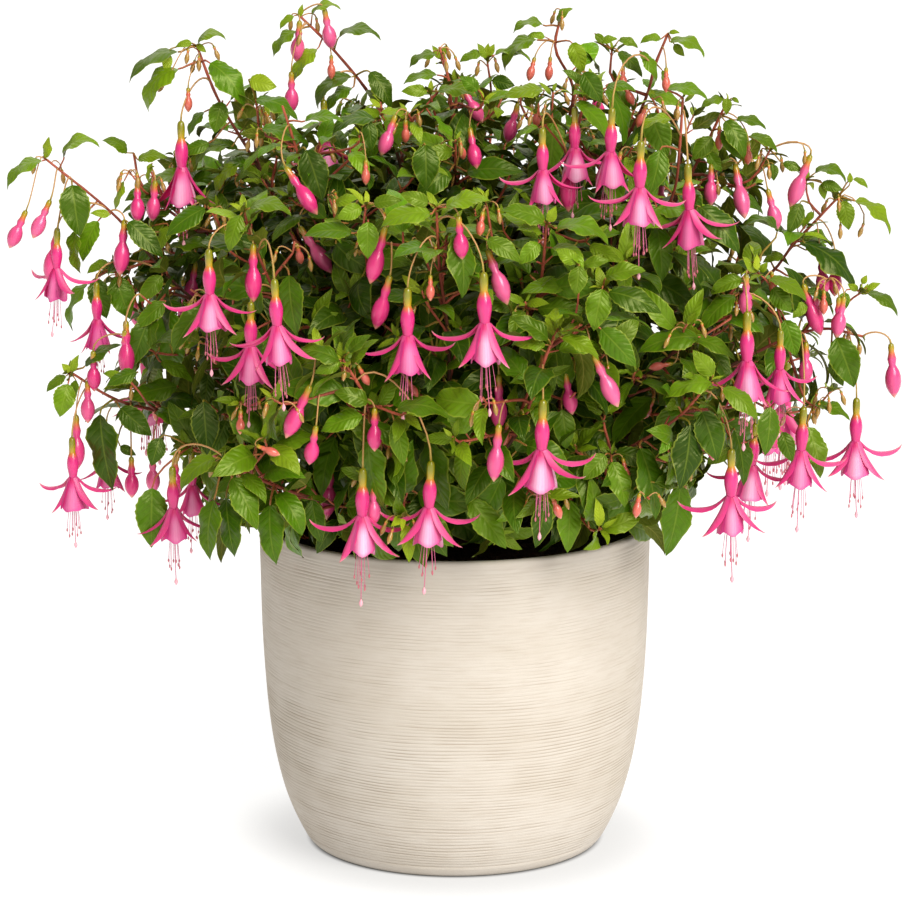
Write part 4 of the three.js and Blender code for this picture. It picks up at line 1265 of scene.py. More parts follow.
@functools.lru_cache(maxsize=None)
def leaf_faces(rows, columns):
    """Faces and values of a leaf's points: base, rows of upper skin, tip, then the line under its midrib."""
    width = 2 * columns + 1
    upper = 1 + np.arange((rows - 1) * width).reshape(rows - 1, width)
    tip = 1 + (rows - 1) * width
    under = tip + 1 + np.arange(rows - 1)
    left, right = upper[:, 0], upper[:, -1]
    quads = [grid_quads(rows - 1, width) + 1,
             np.stack([left[:-1], under[:-1], under[1:], left[1:]], 1),
             np.stack([under[:-1], right[:-1], right[1:], under[1:]], 1)]
    triangles = [[0, upper[0, j], upper[0, j + 1]] for j in range(width - 1)]
    triangles += [[tip, upper[-1, j + 1], upper[-1, j]] for j in range(width - 1)]
    triangles += [[0, under[0], left[0]], [0, right[0], under[0]]]
    triangles += [[tip, left[-1], under[-1]], [tip, under[-1], right[-1]]]
    rim = np.zeros(tip + rows, bool)
    rim[np.concatenate([[0, tip], left, right])] = True
    share = np.arange(1, rows) / rows
    along = np.concatenate([[0], np.repeat(share, width), [1], share])
    across = np.concatenate([[0], np.tile(np.linspace(-1, 1, width), rows - 1), [0], share * 0])
    below = np.concatenate([np.zeros(tip + 1), np.ones(rows - 1)])
    return np.vstack(quads), np.array(triangles), rim, along, across, below


@dataclass
class Leaf:
    """One leaf: its midrib leaves base along ahead and curves down by droop; its upper side looks to face."""
    root: np.ndarray
    base: np.ndarray
    ahead: np.ndarray
    face: np.ndarray
    length: float
    width: float
    droop: float
    bend: float = 0.0
    fold: float = 0.15
    wave: float = 0.0
    age: float = 0.0
    # From the shaded to the lit green: at random, and for grown leaves also painted shade deep in the mass
    # and painted light up high
    tone: float = 0.5
    rows: int = 12
    columns: int = 2

    def points(self):
        share = np.linspace(0, 1, self.rows + 1)
        dip, swing = self.droop * share, self.bend * share
        left = np.cross(self.face, self.ahead)
        tangent = np.outer(np.cos(dip), self.ahead) - np.outer(np.sin(dip), self.face)
        normal = (np.outer(np.cos(dip), self.face) + np.outer(np.sin(dip), self.ahead))[1:-1, None]
        side = (np.outer(np.cos(swing), left) - tangent * np.sin(swing)[:, None])[1:-1, None]
        tangent = tangent * np.cos(swing)[:, None] + np.outer(np.sin(swing), left)
        steps = (tangent[1:] + tangent[:-1]) * (self.length / self.rows / 2)
        midrib = self.base + running_sum(steps)
        inner = share[1:-1, None]
        across = np.linspace(-1, 1, 2 * self.columns + 1)
        reach = self.width / 2 * LEAF_PEAK * inner ** 0.7 * (1 - inner) ** 1.15 * across
        lift = np.abs(reach) * math.sin(self.fold) - reach ** 2 / self.width * 0.7
        lift = lift + self.wave * reach * across * np.sin(inner * 13 + 1.4 * np.sign(across))
        if self.rows > TOOTHLESS_ROWS:
            reach[:, [0, -1]] *= np.where(np.arange(1, self.rows) % 2, *LEAF_TEETH)[:, None]
        reach = reach * math.cos(self.fold)
        upper = midrib[1:-1, None] + side * reach[..., None] + normal * lift[..., None]
        if self.rows > TOOTHLESS_ROWS:
            upper[1::2, [0, -1]] += tangent[2:-1:2, None] * (0.3 * self.length / self.rows)
        under = midrib[1:-1] - normal[:, 0] * (LEAF_THICK + MIDRIB_THICK * (1 - inner))
        return np.vstack([midrib[:1], upper.reshape(-1, 3), midrib[-1:], under])

    def add_to(self, piece):
        quads, triangles, rim, along, across, under = leaf_faces(self.rows, self.columns)
        piece.add(self.points(), quads, triangles, rim, along=along, across=across, age=self.age,
                  tone=self.tone, under=under)

    def add_stalk(self, piece):
        gap = np.linalg.norm(self.base - self.root)
        if gap < 1.0 * MM:
            return
        leave = self.root + (self.base - self.root) * 0.5 + UP * gap * 0.12
        long = gap > 9 * MM
        line = bezier(self.root, leave, self.base - self.ahead * gap * 0.25, self.base, 4 if long else 1)
        radii = np.linspace(1.15, 0.8, len(line)) * (0.45 * MM + self.length * 0.007)
        body, quads, caps, _, _ = tube(line, radii, 4 if long else 3)
        piece.add(body, quads, caps, age=0.26 * (1 - self.age) * self.tone + 0.05)


def outward_level(point):
    return unit((point - DOME_CENTRE) * [1, 1, 0])


def fineness(point, reach):
    """Rows and columns of a leaf: fine where it shows, coarse inside and behind."""
    depth = depth_in_dome(point)
    front = point[1] < 0.03
    if reach < SMALL_LEAF:
        return 5, 1
    if depth > 0.72 and front:
        return 12, 2
    if depth > 0.6:
        return (8, 2) if front else (7, 2)
    return 6, 1


def grown_leaf(point, direction, side, youth, length, chance):
    """A leaf that leaves a stem to a side, and turns to the light as it ages."""
    outwards = unit(point - DOME_CENTRE + UP * 0.03)
    climb = math.radians(20 + 42 * youth + chance.normal(0, 8))
    way = side * math.cos(climb) + direction * math.sin(climb)
    reach = length * chance.uniform(0.86, 1.1) * MM
    stalk = reach * (0.24 - 0.18 * youth)
    ahead = unit(way + (outwards * 0.3 + UP * 0.22) * (1 - youth))
    upper = direction * math.cos(climb) - side * math.sin(climb)
    upper = upper * (0.3 + 0.7 * youth) + (UP * 0.75 + outwards * 0.6) * (1 - 0.7 * youth)
    face = unit(upper - ahead * (upper @ ahead))
    face = turned(face, ahead, chance.normal(0, 0.45))
    rows, columns = fineness(point, reach)
    # Painted shade and light: leaves deep in the mass stay dark green, only outer ones may be lit green, and
    # leaves high up are lighter still
    lit = smoothstep(0.62, 0.96, depth_in_dome(point))
    tone = chance.uniform(0.0, 0.2) + chance.uniform(0.0, 0.9) * lit
    tone += 0.2 * smoothstep(0.4, 0.5, point[2])
    return Leaf(point, point + way * (stalk + 0.5 * MM), ahead, face, reach,
                width=reach * chance.uniform(0.43, 0.55) * (1 - 0.25 * youth),
                droop=math.radians(78 - 34 * youth + chance.normal(0, 15)),
                bend=chance.normal(0, 0.22), fold=chance.uniform(0.1, 0.6) + 0.15 * youth,
                wave=chance.uniform(0, 0.25), age=youth * chance.uniform(0.6, 1),
                tone=tone, rows=rows, columns=columns)


def pair_leaves(stem, pair, from_tip, length, chance):
    """The two leaves of one node, set a quarter round the stem from the pair before it."""
    point, direction = stem.place(from_tip * MM)
    level = np.cross(direction, UP)
    level = unit(level) if np.linalg.norm(level) > 0.05 else np.array([1.0, 0, 0])
    youth = float(np.clip(1.1 - pair * 0.3, 0, 1))
    side = turned(level, direction, stem.spin + pair * math.pi / 2 + chance.normal(0, 0.2))
    return [grown_leaf(point, direction, way, youth, length * stem.vigour, chance) for way in (side, -side)]


def hits_planter(points):
    flat = np.linalg.norm(points[:, :2], axis=1) / MM
    height = points[:, 2] / MM
    outer = pot_radius(np.clip(height, 0, POT_HEIGHT)) + 1.0
    in_wall = (height < POT_HEIGHT + 1) & (flat < outer) & (flat > outer - POT_WALL - 2)
    in_soil = (height < SOIL_MIDDLE_HEIGHT + 1) & (flat < outer)
    return bool((in_wall | in_soil).any())


def in_room(drop, aside, room):
    """Whether a place lies in one of the steps of a flower's room."""
    return np.any([(drop >= low) & (drop < high) & (aside < half) for low, high, half in room], axis=0)


class Guard:
    """Keeps leaves out of the flowers, and from passing in front of what shows whole."""

    def __init__(self, flowers):
        self.places = np.array([seen_at(row[0]) for row in flowers])
        self.seen = np.array([row[0] for row in flowers])
        self.shown = np.array([i + 1 not in HALF_HIDDEN_FLOWERS for i in range(len(flowers))])
        self.discs = np.zeros((0, 4))

    def show(self, points, radius, nearer=2.0):
        """Keeps the view of these points free, to a radius in millimetres."""
        seen = plane_places(points)
        seen[:, 2] += nearer
        self.discs = np.vstack([self.discs, np.column_stack([seen, np.full(len(seen), radius)])])

    def hit(self, points):
        """Whether any of a leaf's points lies in a flower, or before something that shows whole."""
        gap = points[:, None] - self.places
        inside = in_room(-gap[:, :, 2], np.linalg.norm(gap[:, :, :2], axis=2), np.array(FLOWER_ROOM) * MM)
        seen = plane_places(points)[:, None]
        aside = np.abs(seen[:, :, 0] - self.seen[:, 0])
        covers = in_room(self.seen[:, 1] - seen[:, :, 1], aside, FLOWER_VIEW) & self.shown
        covers &= seen[:, :, 2] > self.seen[:, 2] - 2
        apart = np.hypot(seen[:, :, 0] - self.discs[:, 0], seen[:, :, 1] - self.discs[:, 1])
        hides = (apart < self.discs[:, 3]) & (seen[:, :, 2] > self.discs[:, 2])
        return bool(inside.any() or covers.any() or hides.any())


def fitted(leaf, guard):
    """The leaf, turned or shortened a little where it would cross or hide something, or None."""
    ahead, face, length, width = leaf.ahead, leaf.face, leaf.length, leaf.width
    for angle, size in ((0, 1), (0.5, 1), (-0.5, 1), (0, 0.7), (1.0, 0.85), (-1.0, 0.85)):
        leaf.ahead, leaf.face = turned(ahead, UP, angle), turned(face, UP, angle)
        leaf.length, leaf.width = length * size, width * size
        points = leaf.points()
        in_mass = inside_edge(plane_places(points[::3])).all()
        if in_mass and not hits_planter(points) and not guard.hit(points[::2]):
            return leaf
    return None


def stem_leaves(stem, guard, chance):
    leaves = []
    stem.spin = chance.uniform(0, math.pi)
    stem.vigour = chance.uniform(0.86, 1.08) * (1.04 - 0.34 * smoothstep(0.40, 0.53, stem.points[-1, 2]))
    bare = BARE_TWIG if stem.is_twig else BARE_STEM
    for pair, (from_tip, length) in enumerate(zip(PAIR_DISTANCES, PAIR_LENGTHS)):
        if from_tip * MM > stem.length - bare:
            break
        if pair > 1 and from_tip * MM < stem.open_tip:
            continue
        for leaf in pair_leaves(stem, pair, from_tip, length, chance):
            kept = fitted(leaf, guard)
            if kept is not None:
                leaves.append(kept)
    return leaves


def seen_leaf(row, nodes, chance):
    """A leaf from its place in the photograph's frame, with the shoot that carries it."""
    base_x, base_y, tip_x, tip_y, outside, width, droop_deg, youth = row
    base_place, tip_place = from_frame(base_x, base_y), from_frame(tip_x, tip_y)
    nearest = nodes.nearest_seen(*base_place)
    out = nodes.seen[nearest, 2] + outside
    base, tip = seen_at((*base_place, out)), seen_at((*tip_place, out + 0.25 * outside))
    chord = tip - base
    way = unit(chord)
    eye = unit(np.array([0, -EYE_DISTANCE, EYE_HEIGHT]) * MM - base)
    to_eye = unit(eye - way * (eye @ way))
    sideways = np.cross(way, to_eye)
    leads = sideways[2] if abs(sideways[2]) > 0.3 else sideways[0] * base[0]
    sideways = sideways * (1 if leads > 0 else -1)
    seen_width = width * EYE_DISTANCE * CAMERA_SENSOR / CAMERA_LENS / FRAME_WIDTH * MM
    edge_on = seen_width < 0.36 * np.linalg.norm(chord)
    half = math.radians(droop_deg) * (0.66 if edge_on else 0.5)
    length = np.linalg.norm(chord) * half / math.sin(half)
    wide = np.clip(seen_width, SHOWN_WIDTHS[0] * length, SHOWN_WIDTHS[1] * length)
    turn = math.acos(np.clip(seen_width / wide, 0.3, 1))
    normal = to_eye * math.cos(turn) + sideways * math.sin(turn)
    leaf = Leaf(nodes.points[nearest], base, way * math.cos(half) + normal * math.sin(half),
                normal * math.cos(half) - way * math.sin(half), length, wide, 2 * half,
                bend=chance.normal(0, 0.1), fold=chance.uniform(0.1, 0.5), wave=chance.uniform(0.08, 0.25),
                age=0.85 * youth / 100, tone=chance.uniform(0.05, 0.6) + 0.004 * youth,
                rows=8 if length < SMALL_LEAF else 18)
    return nodes.shoots[nearest], leaf


# Flowers

def flower_turn(yaw_deg, lean_across_deg, lean_out_deg):
    yaw, across, out = (math.radians(angle) for angle in (yaw_deg, lean_across_deg, lean_out_deg))
    cos, sin = math.cos, math.sin
    about_z = np.array([[cos(yaw), -sin(yaw), 0], [sin(yaw), cos(yaw), 0], [0, 0, 1]])
    about_y = np.array([[cos(across), 0, -sin(across)], [0, 1, 0], [sin(across), 0, cos(across)]])
    about_x = np.array([[1, 0, 0], [0, cos(out), -sin(out)], [0, sin(out), cos(out)]])
    return about_y @ about_x @ about_z


def mixed(stops, share):
    """Colour along a run of (share, colour) stops."""
    places = [stop for stop, _ in stops]
    return np.stack([np.interp(share, places, [colour[i] for _, colour in stops]) for i in range(3)], -1)


def add_tube_and_ovary(piece, to_world):
    rows = np.array(OVARY_AND_TUBE)
    fine = np.linspace(0, len(rows) - 1, 24)
    heights, radii = (np.interp(fine, np.arange(len(rows)), rows[:, i]) for i in (0, 1))
    radii[1:-1] = (radii[:-2] + 2 * radii[1:-1] + radii[2:]) / 4
    line = np.stack([heights * 0, heights * 0, heights], 1)
    body, quads, caps, _, around = tube(line, radii, 12, ridges=0.02)
    tube_colour, ovary_top = COLOURS["tube"], COLOURS["ovary top"]
    stops = [(0, tube_colour * 0.85), (0.3, tube_colour), (0.52, tube_colour), (0.6, COLOURS["ovary end"]),
             (0.68, COLOURS["ovary"]), (0.85, ovary_top), (1, ovary_top)]
    tint = mixed(stops, (body[:, 2] - TUBE_END) / TUBE_LENGTH)
    piece.add(to_world(body), quads, caps, tint=tint, across=around, gloss=1)


def sepal_midline(azimuth, throw, chance, rows):
    """Points and frames down a sepal: throw runs from 0, hanging by the petals, to 1, flung out level."""
    share = np.linspace(0, 1, rows + 1)
    length = 30 + 7 * throw + chance.normal(0, 1)
    opening = 10 + 33 * throw + (6 + 42 * throw ** 1.3) * smoothstep(0, 0.55, share)
    opening = np.radians(opening + (14 + 60 * throw) * share ** 6 + chance.normal(0, 5) * share)
    outwards = level_way(azimuth)
    tangent = outwards * np.sin(opening)[:, None] - UP * np.cos(opening)[:, None]
    normal = outwards * np.cos(opening)[:, None] + UP * np.sin(opening)[:, None]
    side = np.cross(normal, tangent)
    twist = (chance.normal(0, 0.2) * share)[:, None]
    steps = (tangent[1:] + tangent[:-1]) / 2 * length / rows
    midline = outwards * 3.3 + UP * (MOUTH + 0.3) + running_sum(steps)
    return (share, midline, side * np.cos(twist) + normal * np.sin(twist),
            normal * np.cos(twist) - side * np.sin(twist))


def add_sepal(piece, to_world, azimuth, throw, chance):
    rows, columns = 12, 4
    share, midline, side, normal = sepal_midline(azimuth, throw, chance, rows)
    half = np.interp(share, *SEPAL_HALVES) * (1 - 0.04 * throw)
    across = np.linspace(-1, 1, columns + 1)
    reach = half[:, None] * across
    cup = (0.45 + 0.35 * throw) * reach ** 2 / 4.2
    grid = midline[:, None] + side[:, None] * reach[:, :, None] - normal[:, None] * cup[:, :, None]
    body, quads, source, rim = closed_sheet(grid, SEPAL_THICK)
    along = np.repeat(share, columns + 1)
    across = np.tile(across, rows + 1)
    colour, inside, tip = COLOURS["sepal"], COLOURS["inner sepal"], COLOURS["sepal tip"]
    outer = mixed([(0, COLOURS["tube"]), (0.25, colour), (0.86, colour), (1, tip)], along)
    inner = mixed([(0, inside), (0.86, inside), (1, tip)], along)
    # Painted highlight: a paler band down the middle of each sepal, stronger the further it is thrown out, in
    # the petals' pale colour
    pale = np.exp(-(across / 0.5) ** 2)[:, None] * (0.09 + 0.24 * throw) * (1 - along[:, None] * 0.4)
    outer = outer * (1 - pale) + COLOURS["petal glow"] * pale
    is_outer = np.arange(len(source)) < len(along)
    tint = np.vstack([outer, inner])[np.where(is_outer, source, source + len(along))]
    piece.add(to_world(body), quads, rim=rim, tint=tint, across=across[source], gloss=0.45)


def petal_colours(share, across, pale, chance):
    """Hot pink at the base, the sides and the hem, pale down the middle, and deep along both edges."""
    glow = np.exp(-(across / 0.56) ** 2)[None, :] * smoothstep(0.05, 0.5, share)[:, None]
    glow = glow * pale * chance.uniform(0.7, 1) * (1 - 0.6 * smoothstep(0.93, 1.0, share)[:, None])
    glow = glow.reshape(-1, 1)
    colour = COLOURS["petal"] * (1 - glow) + COLOURS["petal glow"] * glow
    colour = colour * (1 - 0.3 * np.tile(np.abs(across) > 0.9, len(share)))[:, None]
    base = (1 - smoothstep(0, 0.3, np.repeat(share, len(across))))[:, None]
    return colour * (1 - base) + COLOURS["inner sepal"] * base


def add_petal(piece, to_world, azimuth, flare, pale, chance):
    """One of the four petals that overlap into a skirt."""
    rows, columns = 9, 8
    share = np.linspace(0, 1, rows + 1)
    across = np.linspace(-1, 1, columns + 1)
    hem = chance.uniform(0.95, 1.03) - 0.15 * np.abs(across) ** 3
    hem = hem + 0.03 * np.cos(across * 5 + chance.normal())
    radius = np.interp(share, *PETAL_RADII) * (1 + (flare - 1) * share)
    share = share[:, None]
    depth = (MOUTH - HEM) * share * hem[None, :]
    turn = azimuth + math.radians(PETAL_SPREAD_DEG) * across[None, :] * (1 - 0.08 * share)
    fluting = 0.5 * np.sin(across * 6 + azimuth * 3)[None, :] * share
    overlap = 0.8 * across[None, :] * (0.3 + 0.7 * share)
    reach = radius[:, None] + fluting + overlap + 0.5 * chance.normal() * share ** 3
    grid = np.stack([reach * np.cos(turn), reach * np.sin(turn), MOUTH - 0.4 - depth], 2)
    body, quads, source, rim = closed_sheet(grid, PETAL_THICK)
    colour = petal_colours(share[:, 0], across, pale, chance)
    is_outer = np.arange(len(source)) < len(colour)
    tint = np.where(is_outer[:, None], colour[source], colour[source] * [0.85, 0.35, 0.6])
    across = np.tile(across, rows + 1)
    piece.add(to_world(body), quads, rim=rim, tint=tint, across=across[source], gloss=0.1)


def add_thread(piece, to_world, line, radii, sides, colour, gloss=0.3):
    """A round organ of a flower, in one colour."""
    body, quads, caps, _, around = tube(line, radii, sides)
    piece.add(to_world(body), quads, caps, tint=COLOURS[colour], across=around, gloss=gloss)


def add_stamens(piece, to_world, chance):
    for i in range(STAMENS):
        way = level_way(i * 2 * math.pi / STAMENS + chance.normal(0, 0.1))
        drop = STAMEN_DROPS[i % 2] + chance.normal(0, 1.4)
        spread = chance.uniform(2.6, 6.0)
        end = way * spread + UP * (HEM - drop)
        leave, arrive = way * 2.0 + UP * (HEM + 10), way * spread * 0.8 + UP * (HEM - 3)
        line = bezier(way * 1.2 + UP * (MOUTH - 1), leave, arrive, end, 7)
        add_thread(piece, to_world, line, np.full(8, STAMEN_RADIUS), 3, "stamen")
        tip = end + np.linspace(0.4, -2.4, len(ANTHER_RADII))[:, None] * UP
        add_thread(piece, to_world, tip, ANTHER_RADII, 5, "anther", gloss=0.2)


def add_style(piece, to_world, length, chance):
    end = np.array([chance.normal(0, 1.2), chance.normal(0, 1.2), HEM - length])
    start = np.array([0, 0, MOUTH - 1])
    line = bezier(start, start * [1, 1, 1.4], end * [0.4, 0.4, 0.85], end, 9)
    add_thread(piece, to_world, line, np.full(10, STYLE_RADIUS), 4, "stamen")
    tip = end + np.linspace(0.6, -4.4, len(STIGMA_RADII))[:, None] * UP
    add_thread(piece, to_world, tip, STIGMA_RADII, 6, "stigma")


def stalk_line(start, end, end_way, steps=10):
    """An arching stalk that leaves its stem outwards and upwards, and comes down into the flower."""
    gap = np.linalg.norm(end - start)
    outwards = (end - start) * [1, 1, 0]
    leave = start + outwards * 0.35 + UP * gap * 0.3
    return bezier(start, leave, end - end_way * gap * 0.4, end, steps)


def add_stalk(piece, line, radius):
    radii = np.linspace(1.0, 0.85, len(line)) * radius
    radii[-2:] *= [1.15, 1.4]
    body, quads, caps, along, around = tube(line, radii, 4)
    colour = mixed([(0, COLOURS["stalk"]), (0.75, COLOURS["stalk"]), (1, COLOURS["stalk end"])], along)
    piece.add(body, quads, caps, tint=colour, across=around, gloss=0.3)


def make_flower(name, ovary, start, yaw, throws, size, pale, chance, materials):
    turn = flower_turn(yaw, chance.normal(0, 2.2), chance.normal(0, 2.2)) * size

    def to_world(points):
        return points @ turn.T * MM + ovary

    bloom, threads = Piece(*FLOWER_VALUES), Piece(*FLOWER_VALUES)
    top = to_world(np.array([[0, 0, STALK_TOP]]))[0]
    add_stalk(bloom, stalk_line(start, top, unit(turn @ -UP)), STALK_RADIUS * MM)
    add_tube_and_ovary(bloom, to_world)
    for azimuth_deg, throw in zip(SEPAL_AZIMUTHS_DEG, throws):
        add_sepal(bloom, to_world, math.radians(azimuth_deg), throw, chance)
    flare = chance.uniform(0.9, 1.12)
    for quarter in range(4):
        add_petal(bloom, to_world, (quarter + 0.5) * math.pi / 2 + math.pi / 4, flare, pale, chance)
    made = bloom.build(name + "_bloom", materials["petal"])
    add_stamens(threads, to_world, chance)
    add_style(threads, to_world, STYLE_LENGTH + chance.normal(0, 2.5), chance)
    stamens = threads.build(name + "_stamens", materials["thread"])
    return made


# Buds

def bud_outline(size):
    """(distance from the top, radius) down a bud, and where its tube and its body start."""
    (ovary, ovary_radius), (neck, _), _ = BUD_SIZES[size]
    starts = (0, ovary, ovary + neck)
    rows = [(0, 0.4 * ovary_radius)]
    for start, (length, radius), shape in zip(starts, BUD_SIZES[size], BUD_SHAPES):
        rows += [(start + length * share, radius * girth) for share, girth in shape]
    return np.array(rows), ovary, ovary + neck


def add_bud(piece, top, way, size, start, chance):
    """A bud that hangs from the point top along way, with its arching stalk."""
    rows, ovary_end, _ = bud_outline(size)
    sides, steps = 10, 8
    if size == "tiny":
        rows, sides, steps = rows[::2], 6, 5
    ripeness = BUD_RIPENESS[size]
    total = rows[-1, 0]
    line = top + rows[:, :1] * way * MM
    body, quads, caps, along, around = tube(line, rows[:, 1] * MM, sides, ridges=0.04)
    pale = chance.uniform(0, 0.7) ** 1.5
    ripe = COLOURS["bud"] * (1 - pale) + COLOURS["pale bud"] * pale
    if ripeness < 0.6:
        ripe = COLOURS["young bud"] * (ripeness * 2) + COLOURS["green bud"] * (1 - ripeness * 2)
    share = np.interp(along, np.linspace(0, 1, len(rows)), rows[:, 0] / total)
    change = ovary_end / total
    stops = [(0, COLOURS["ovary top"]), (change * 0.6, COLOURS["ovary"]), (change, COLOURS["ovary end"]),
             (change * 1.5, ripe), (0.9, ripe), (1, COLOURS["bud tip"])]
    piece.add(body, quads, caps, tint=mixed(stops, share), across=around, gloss=0.9)
    add_stalk(piece, stalk_line(start, top + way * 0.4 * MM, way, steps), (0.4 + total * 0.006) * MM)


def place_buds(nodes, chance):
    """(shoot, top, way, size, start) of each bud that shows, and of more of them at the back."""
    placed = []
    for across, up, size, lean_deg in BUDS:
        rows, _, body_start = bud_outline(size)
        to_middle = body_start + (rows[-1, 0] - body_start) * 0.5
        lean = math.radians(lean_deg)
        top_across, top_up = across - math.sin(lean) * to_middle, up + math.cos(lean) * to_middle
        rise = nodes.seen[:, 1] - top_up
        cost = np.hypot(nodes.seen[:, 0] - top_across, rise - 10) - DEPTH_PULL * nodes.seen[:, 2]
        best = int(np.argmin(cost + (rise < -5) * 50))
        top = seen_at((top_across, top_up, nodes.seen[best, 2] + chance.uniform(3, 10)))
        way = unit(np.array([math.sin(lean), chance.normal(0, 0.12), -math.cos(lean)]))
        placed.append((nodes.shoots[best], top, way, size, nodes.points[best]))
    behind = np.flatnonzero((nodes.points[:, 1] > 0.02) & (nodes.points[:, 2] > 0.24)
                            & (np.linalg.norm(nodes.points - DOME_CENTRE, axis=1) > 0.15))
    for best in chance.choice(behind, BACK_BUDS, replace=False):
        size = str(chance.choice(["large", "medium", "medium", "small"]))
        way = unit(np.array([chance.normal(0, 0.2), chance.normal(0, 0.2), -1]))
        outwards = outward_level(nodes.points[best])
        top = nodes.points[best] + outwards * chance.uniform(8, 20) * MM - UP * chance.uniform(0, 14) * MM
        placed.append((nodes.shoots[best], top, way, size, nodes.points[best]))
    return placed


def tip_buds(stems, chance):
    """Clusters of unripe buds that nod round the tips of stems on the outside of the plant."""
    tips = [stem for stem in stems if depth_in_dome(stem.points[-1]) > 0.78 and stem.points[-1, 2] > 0.26]
    placed = []
    for pick in chance.choice(len(tips), min(TIP_CLUSTERS, len(tips)), replace=False):
        stem = tips[pick]
        first = chance.uniform(0, 2 * math.pi)
        for i in range(int(chance.integers(2, 5))):
            turn = first + i * 2.4
            start = stem.place(chance.uniform(1, 9) * MM)[0]
            outwards = level_way(turn)
            top = start + outwards * chance.uniform(5, 11) * MM + UP * chance.uniform(-5, 4) * MM
            way = unit(outwards * chance.uniform(0.1, 0.6) - UP)
            placed.append((stem.shoot, top, way, "small" if chance.uniform() > 0.88 else "tiny", start))
    return placed


def make_buds(placed, chance, material):
    pieces = {}
    for shoot, top, way, size, start in placed:
        piece = pieces.setdefault(shoot, Piece(*FLOWER_VALUES))
        add_bud(piece, top, way, size, start, chance)
    for shoot, piece in pieces.items():
        piece.build(f"shoot_{shoot + 1:02d}_buds", material)


# Assembly

def make_opening_flower(name, place, start, chance, material):
    """The flower that is still a bud, just about to open."""
    piece = Piece(*FLOWER_VALUES)
    way = unit(np.array([0.55, -0.2, -0.8]))
    add_bud(piece, place - way * 6 * MM, way, "large", start, chance)
    made = piece.build(name + "_opening", material)
    return made


def make_back_flowers(nodes, materials):
    """Flowers spread over the back of the plant, which the photographed side doesn't show."""
    chance = draws("back flowers")
    for i in range(BACK_FLOWERS):
        first_deg, range_deg = BACK_AZIMUTHS_DEG
        lowest, rise = BACK_HEIGHTS
        azimuth = math.radians(first_deg + range_deg * ((i * 0.618) % 1))
        height = lowest + rise * ((i * 0.382 + 0.2) % 1)
        aim = np.array([DOME_WIDE * math.cos(azimuth), DOME_DEEP * math.sin(azimuth), height])
        start = nodes.points[int(np.argmin(np.linalg.norm(nodes.points - aim, axis=1)))]
        ovary = start + outward_level(start) * chance.uniform(10, 18) * MM - UP * chance.uniform(14, 26) * MM
        throws = chance.uniform([0.1, 0.6, 0.6, 0.1], [0.5, 0.95, 0.95, 0.5])
        size, pale = chance.uniform([0.9, 0.3], [1.1, 1.0])
        yaw = chance.uniform(0, 360)
        make_flower(f"back_flower_{i + 1:02d}", ovary, start, yaw, throws, size, pale, chance, materials)


def make_flowers(stems, materials):
    for i, (place, shoot, along, yaw, throws, size, pale) in enumerate(FLOWERS):
        number = i + 1
        chance = draws("flower", number)
        carrier = stems[shoot - 1]
        start = carrier.place(carrier.length * (1 - along))[0]
        ovary = seen_at(place)
        name = f"flower_{number:02d}"
        if number == OPENING_FLOWER:
            made = make_opening_flower(name, ovary, start, chance, materials["bud"])
        else:
            made = make_flower(name, ovary, start, (yaw - 45) * 0.8, throws, size, pale, chance, materials)
        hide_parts(name)


def shown_leaves(nodes, guard):
    """The leaves of the table by shoot; the guard keeps their view free."""
    chance = draws("shown leaves")
    leaves = {}
    for row in SEEN_LEAVES:
        shoot, leaf = seen_leaf(row, nodes, chance)
        leaves.setdefault(shoot, []).append(leaf)
        quarters = np.array([leaf.rows // 4, leaf.rows // 2, 3 * leaf.rows // 4 - 1])
        on_midrib = 1 + (2 * leaf.columns + 1) * quarters + leaf.columns
        guard.show(leaf.points()[on_midrib], leaf.width / MM * 0.42)
    return leaves


def make_shoots(stems, twigs, own_leaves, guard):
    stem_look, leaf_look = stem_material(), leaf_material()
    for i, stem in enumerate(stems):
        chance = draws("shoot", i)
        wood, blades = Piece("age"), Piece("along", "across", "age", "tone", "under")
        leaves = own_leaves.get(i, [])
        for part in [stem] + [twig for twig in twigs if twig.shoot == i]:
            part.add_to(wood)
            leaves = leaves + stem_leaves(part, guard, chance)
        for leaf in leaves:
            leaf.add_to(blades)
            leaf.add_stalk(wood)
        name = f"shoot_{i + 1:02d}"
        for made in (wood.build(name + "_stems", stem_look), blades.build(name + "_leaves", leaf_look)):
            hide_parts(name)


def make_plant():
    stems = main_stems()
    stem_nodes = Nodes(stems)
    twigs = seen_twigs(stem_nodes) + side_twigs(stem_nodes, draws("twigs"))
    nodes = Nodes(stems + twigs, shares=(0.45, 1.0), pitch=0.01)
    guard = Guard(FLOWERS)
    own_leaves = shown_leaves(nodes, guard)
    chance = draws("buds")
    buds = place_buds(nodes, chance) + tip_buds(stems + twigs, chance)
    for _, top, way, size, _ in buds[:len(BUDS)]:
        length = bud_outline(size)[0][-1, 0]
        guard.show(top + np.outer([0.2, 0.5, 0.8], way) * length * MM, 5)
    materials = {"petal": flower_material("petal", 0.15), "bud": flower_material("bud", 0.1),
                 "thread": flower_material("stamen", 0.0)}
    make_shoots(stems, twigs, own_leaves, guard)
    make_flowers(stems, materials)
    make_back_flowers(nodes, materials)
    make_buds(buds, chance, materials["bud"])


# Stage

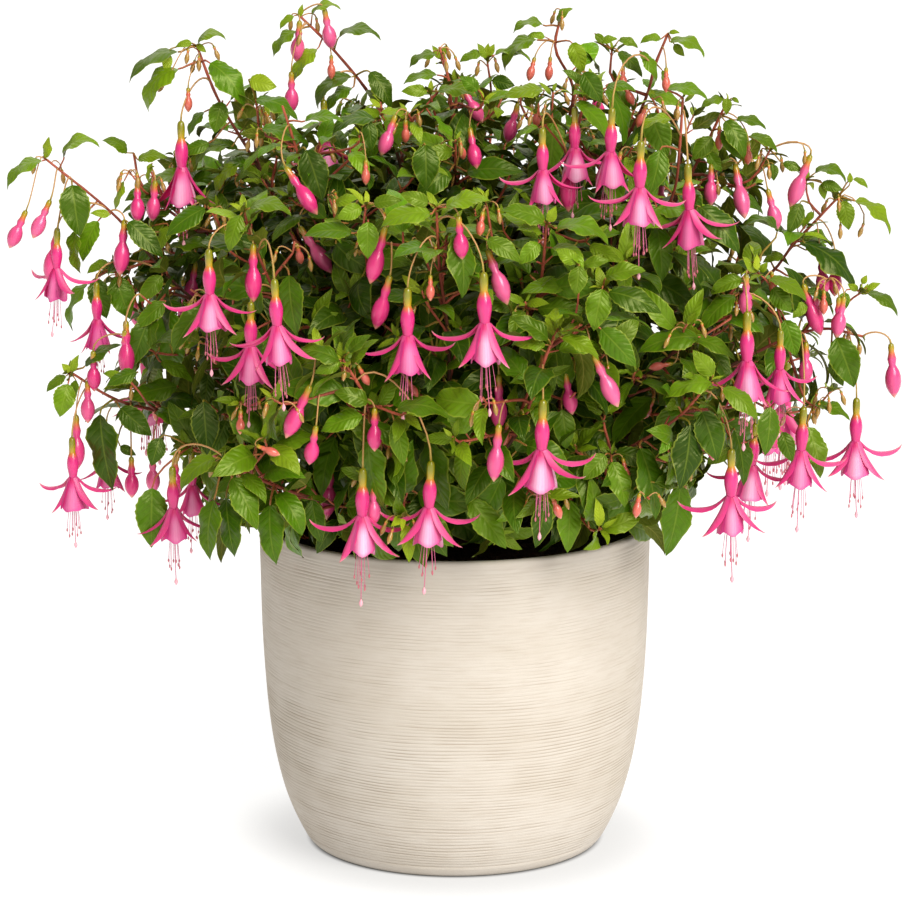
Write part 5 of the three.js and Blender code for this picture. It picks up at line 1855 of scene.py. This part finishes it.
def make_floor():
    """A pale floor that glows, so that real shade shows only close to the planter, where its glow fades in
    rings of painted shade.
    """
    material, tree, shader = new_material("floor_white", specular=0.0)
    shader.inputs["Base Color"].default_value = (FLOOR_GREY, FLOOR_GREY, FLOOR_GREY, 1)
    shader.inputs["Roughness"].default_value = 1.0
    shader.inputs["Emission Color"].default_value = (1, 1, 1, 1)
    place = node(tree, "ShaderNodeTexCoord").outputs["Object"]
    reach = node(tree, "ShaderNodeVectorMath", {0: place}, operation="LENGTH").outputs["Value"]
    # Painted shade: the glow dims near the foot, darkest in a thin ring at its edge
    glow = product(tree, between(tree, reach, *WIDE_SHADE), between(tree, reach, *FOOT_SHADE))
    tree.links.new(glow, shader.inputs["Emission Strength"])
    mesh = bpy.data.meshes.new("floor")
    corners = [(x * FLOOR_HALF, y * FLOOR_HALF, 0) for x, y in ((-1, -1), (1, -1), (1, 1), (-1, 1))]
    mesh.from_pydata(corners, [], [(0, 1, 2, 3)])
    mesh.materials.append(material)
    floor = in_scene("floor", mesh)


def make_sun(name, azimuth_deg, elevation_deg, strength, spread_deg):
    """A broad far light from an azimuth to the right of the camera and an elevation."""
    data = bpy.data.lights.new(name, "SUN")
    data.energy = strength
    data.color = SUN_COLOUR
    data.angle = math.radians(spread_deg)
    lamp = in_scene(name, data)
    lamp.rotation_euler = (math.radians(90 - elevation_deg), 0, math.radians(azimuth_deg))


def make_world():
    """A warm sky that lights the plant, and that the camera sees as white."""
    world = bpy.data.worlds.new("studio")
    bpy.context.scene.world = world
    world.use_nodes = True
    tree = world.node_tree
    background = tree.nodes["Background"]
    seen = node(tree, "ShaderNodeLightPath").outputs["Is Camera Ray"]
    tree.links.new(blended(tree, seen, SKY_COLOUR, (1, 1, 1)), background.inputs["Color"])
    tree.links.new(between(tree, seen, 0, 1, SKY_STRENGTH, 1.0), background.inputs["Strength"])


def make_camera():
    data = bpy.data.cameras.new("camera")
    data.lens = CAMERA_LENS
    data.sensor_width = CAMERA_SENSOR
    camera = in_scene("camera", data)
    camera.location = CAMERA_PLACE
    camera.rotation_euler = (math.radians(90 - CAMERA_PITCH_DEG), 0, 0)
    bpy.context.scene.camera = camera


def make_stage():
    make_camera()
    make_world()
    make_floor()
    for sun in SUNS:
        make_sun(*sun)
    bpy.context.scene.view_settings.view_transform = "Standard"


make_stage()
make_planter()
make_soil()
make_crown()
make_plant()
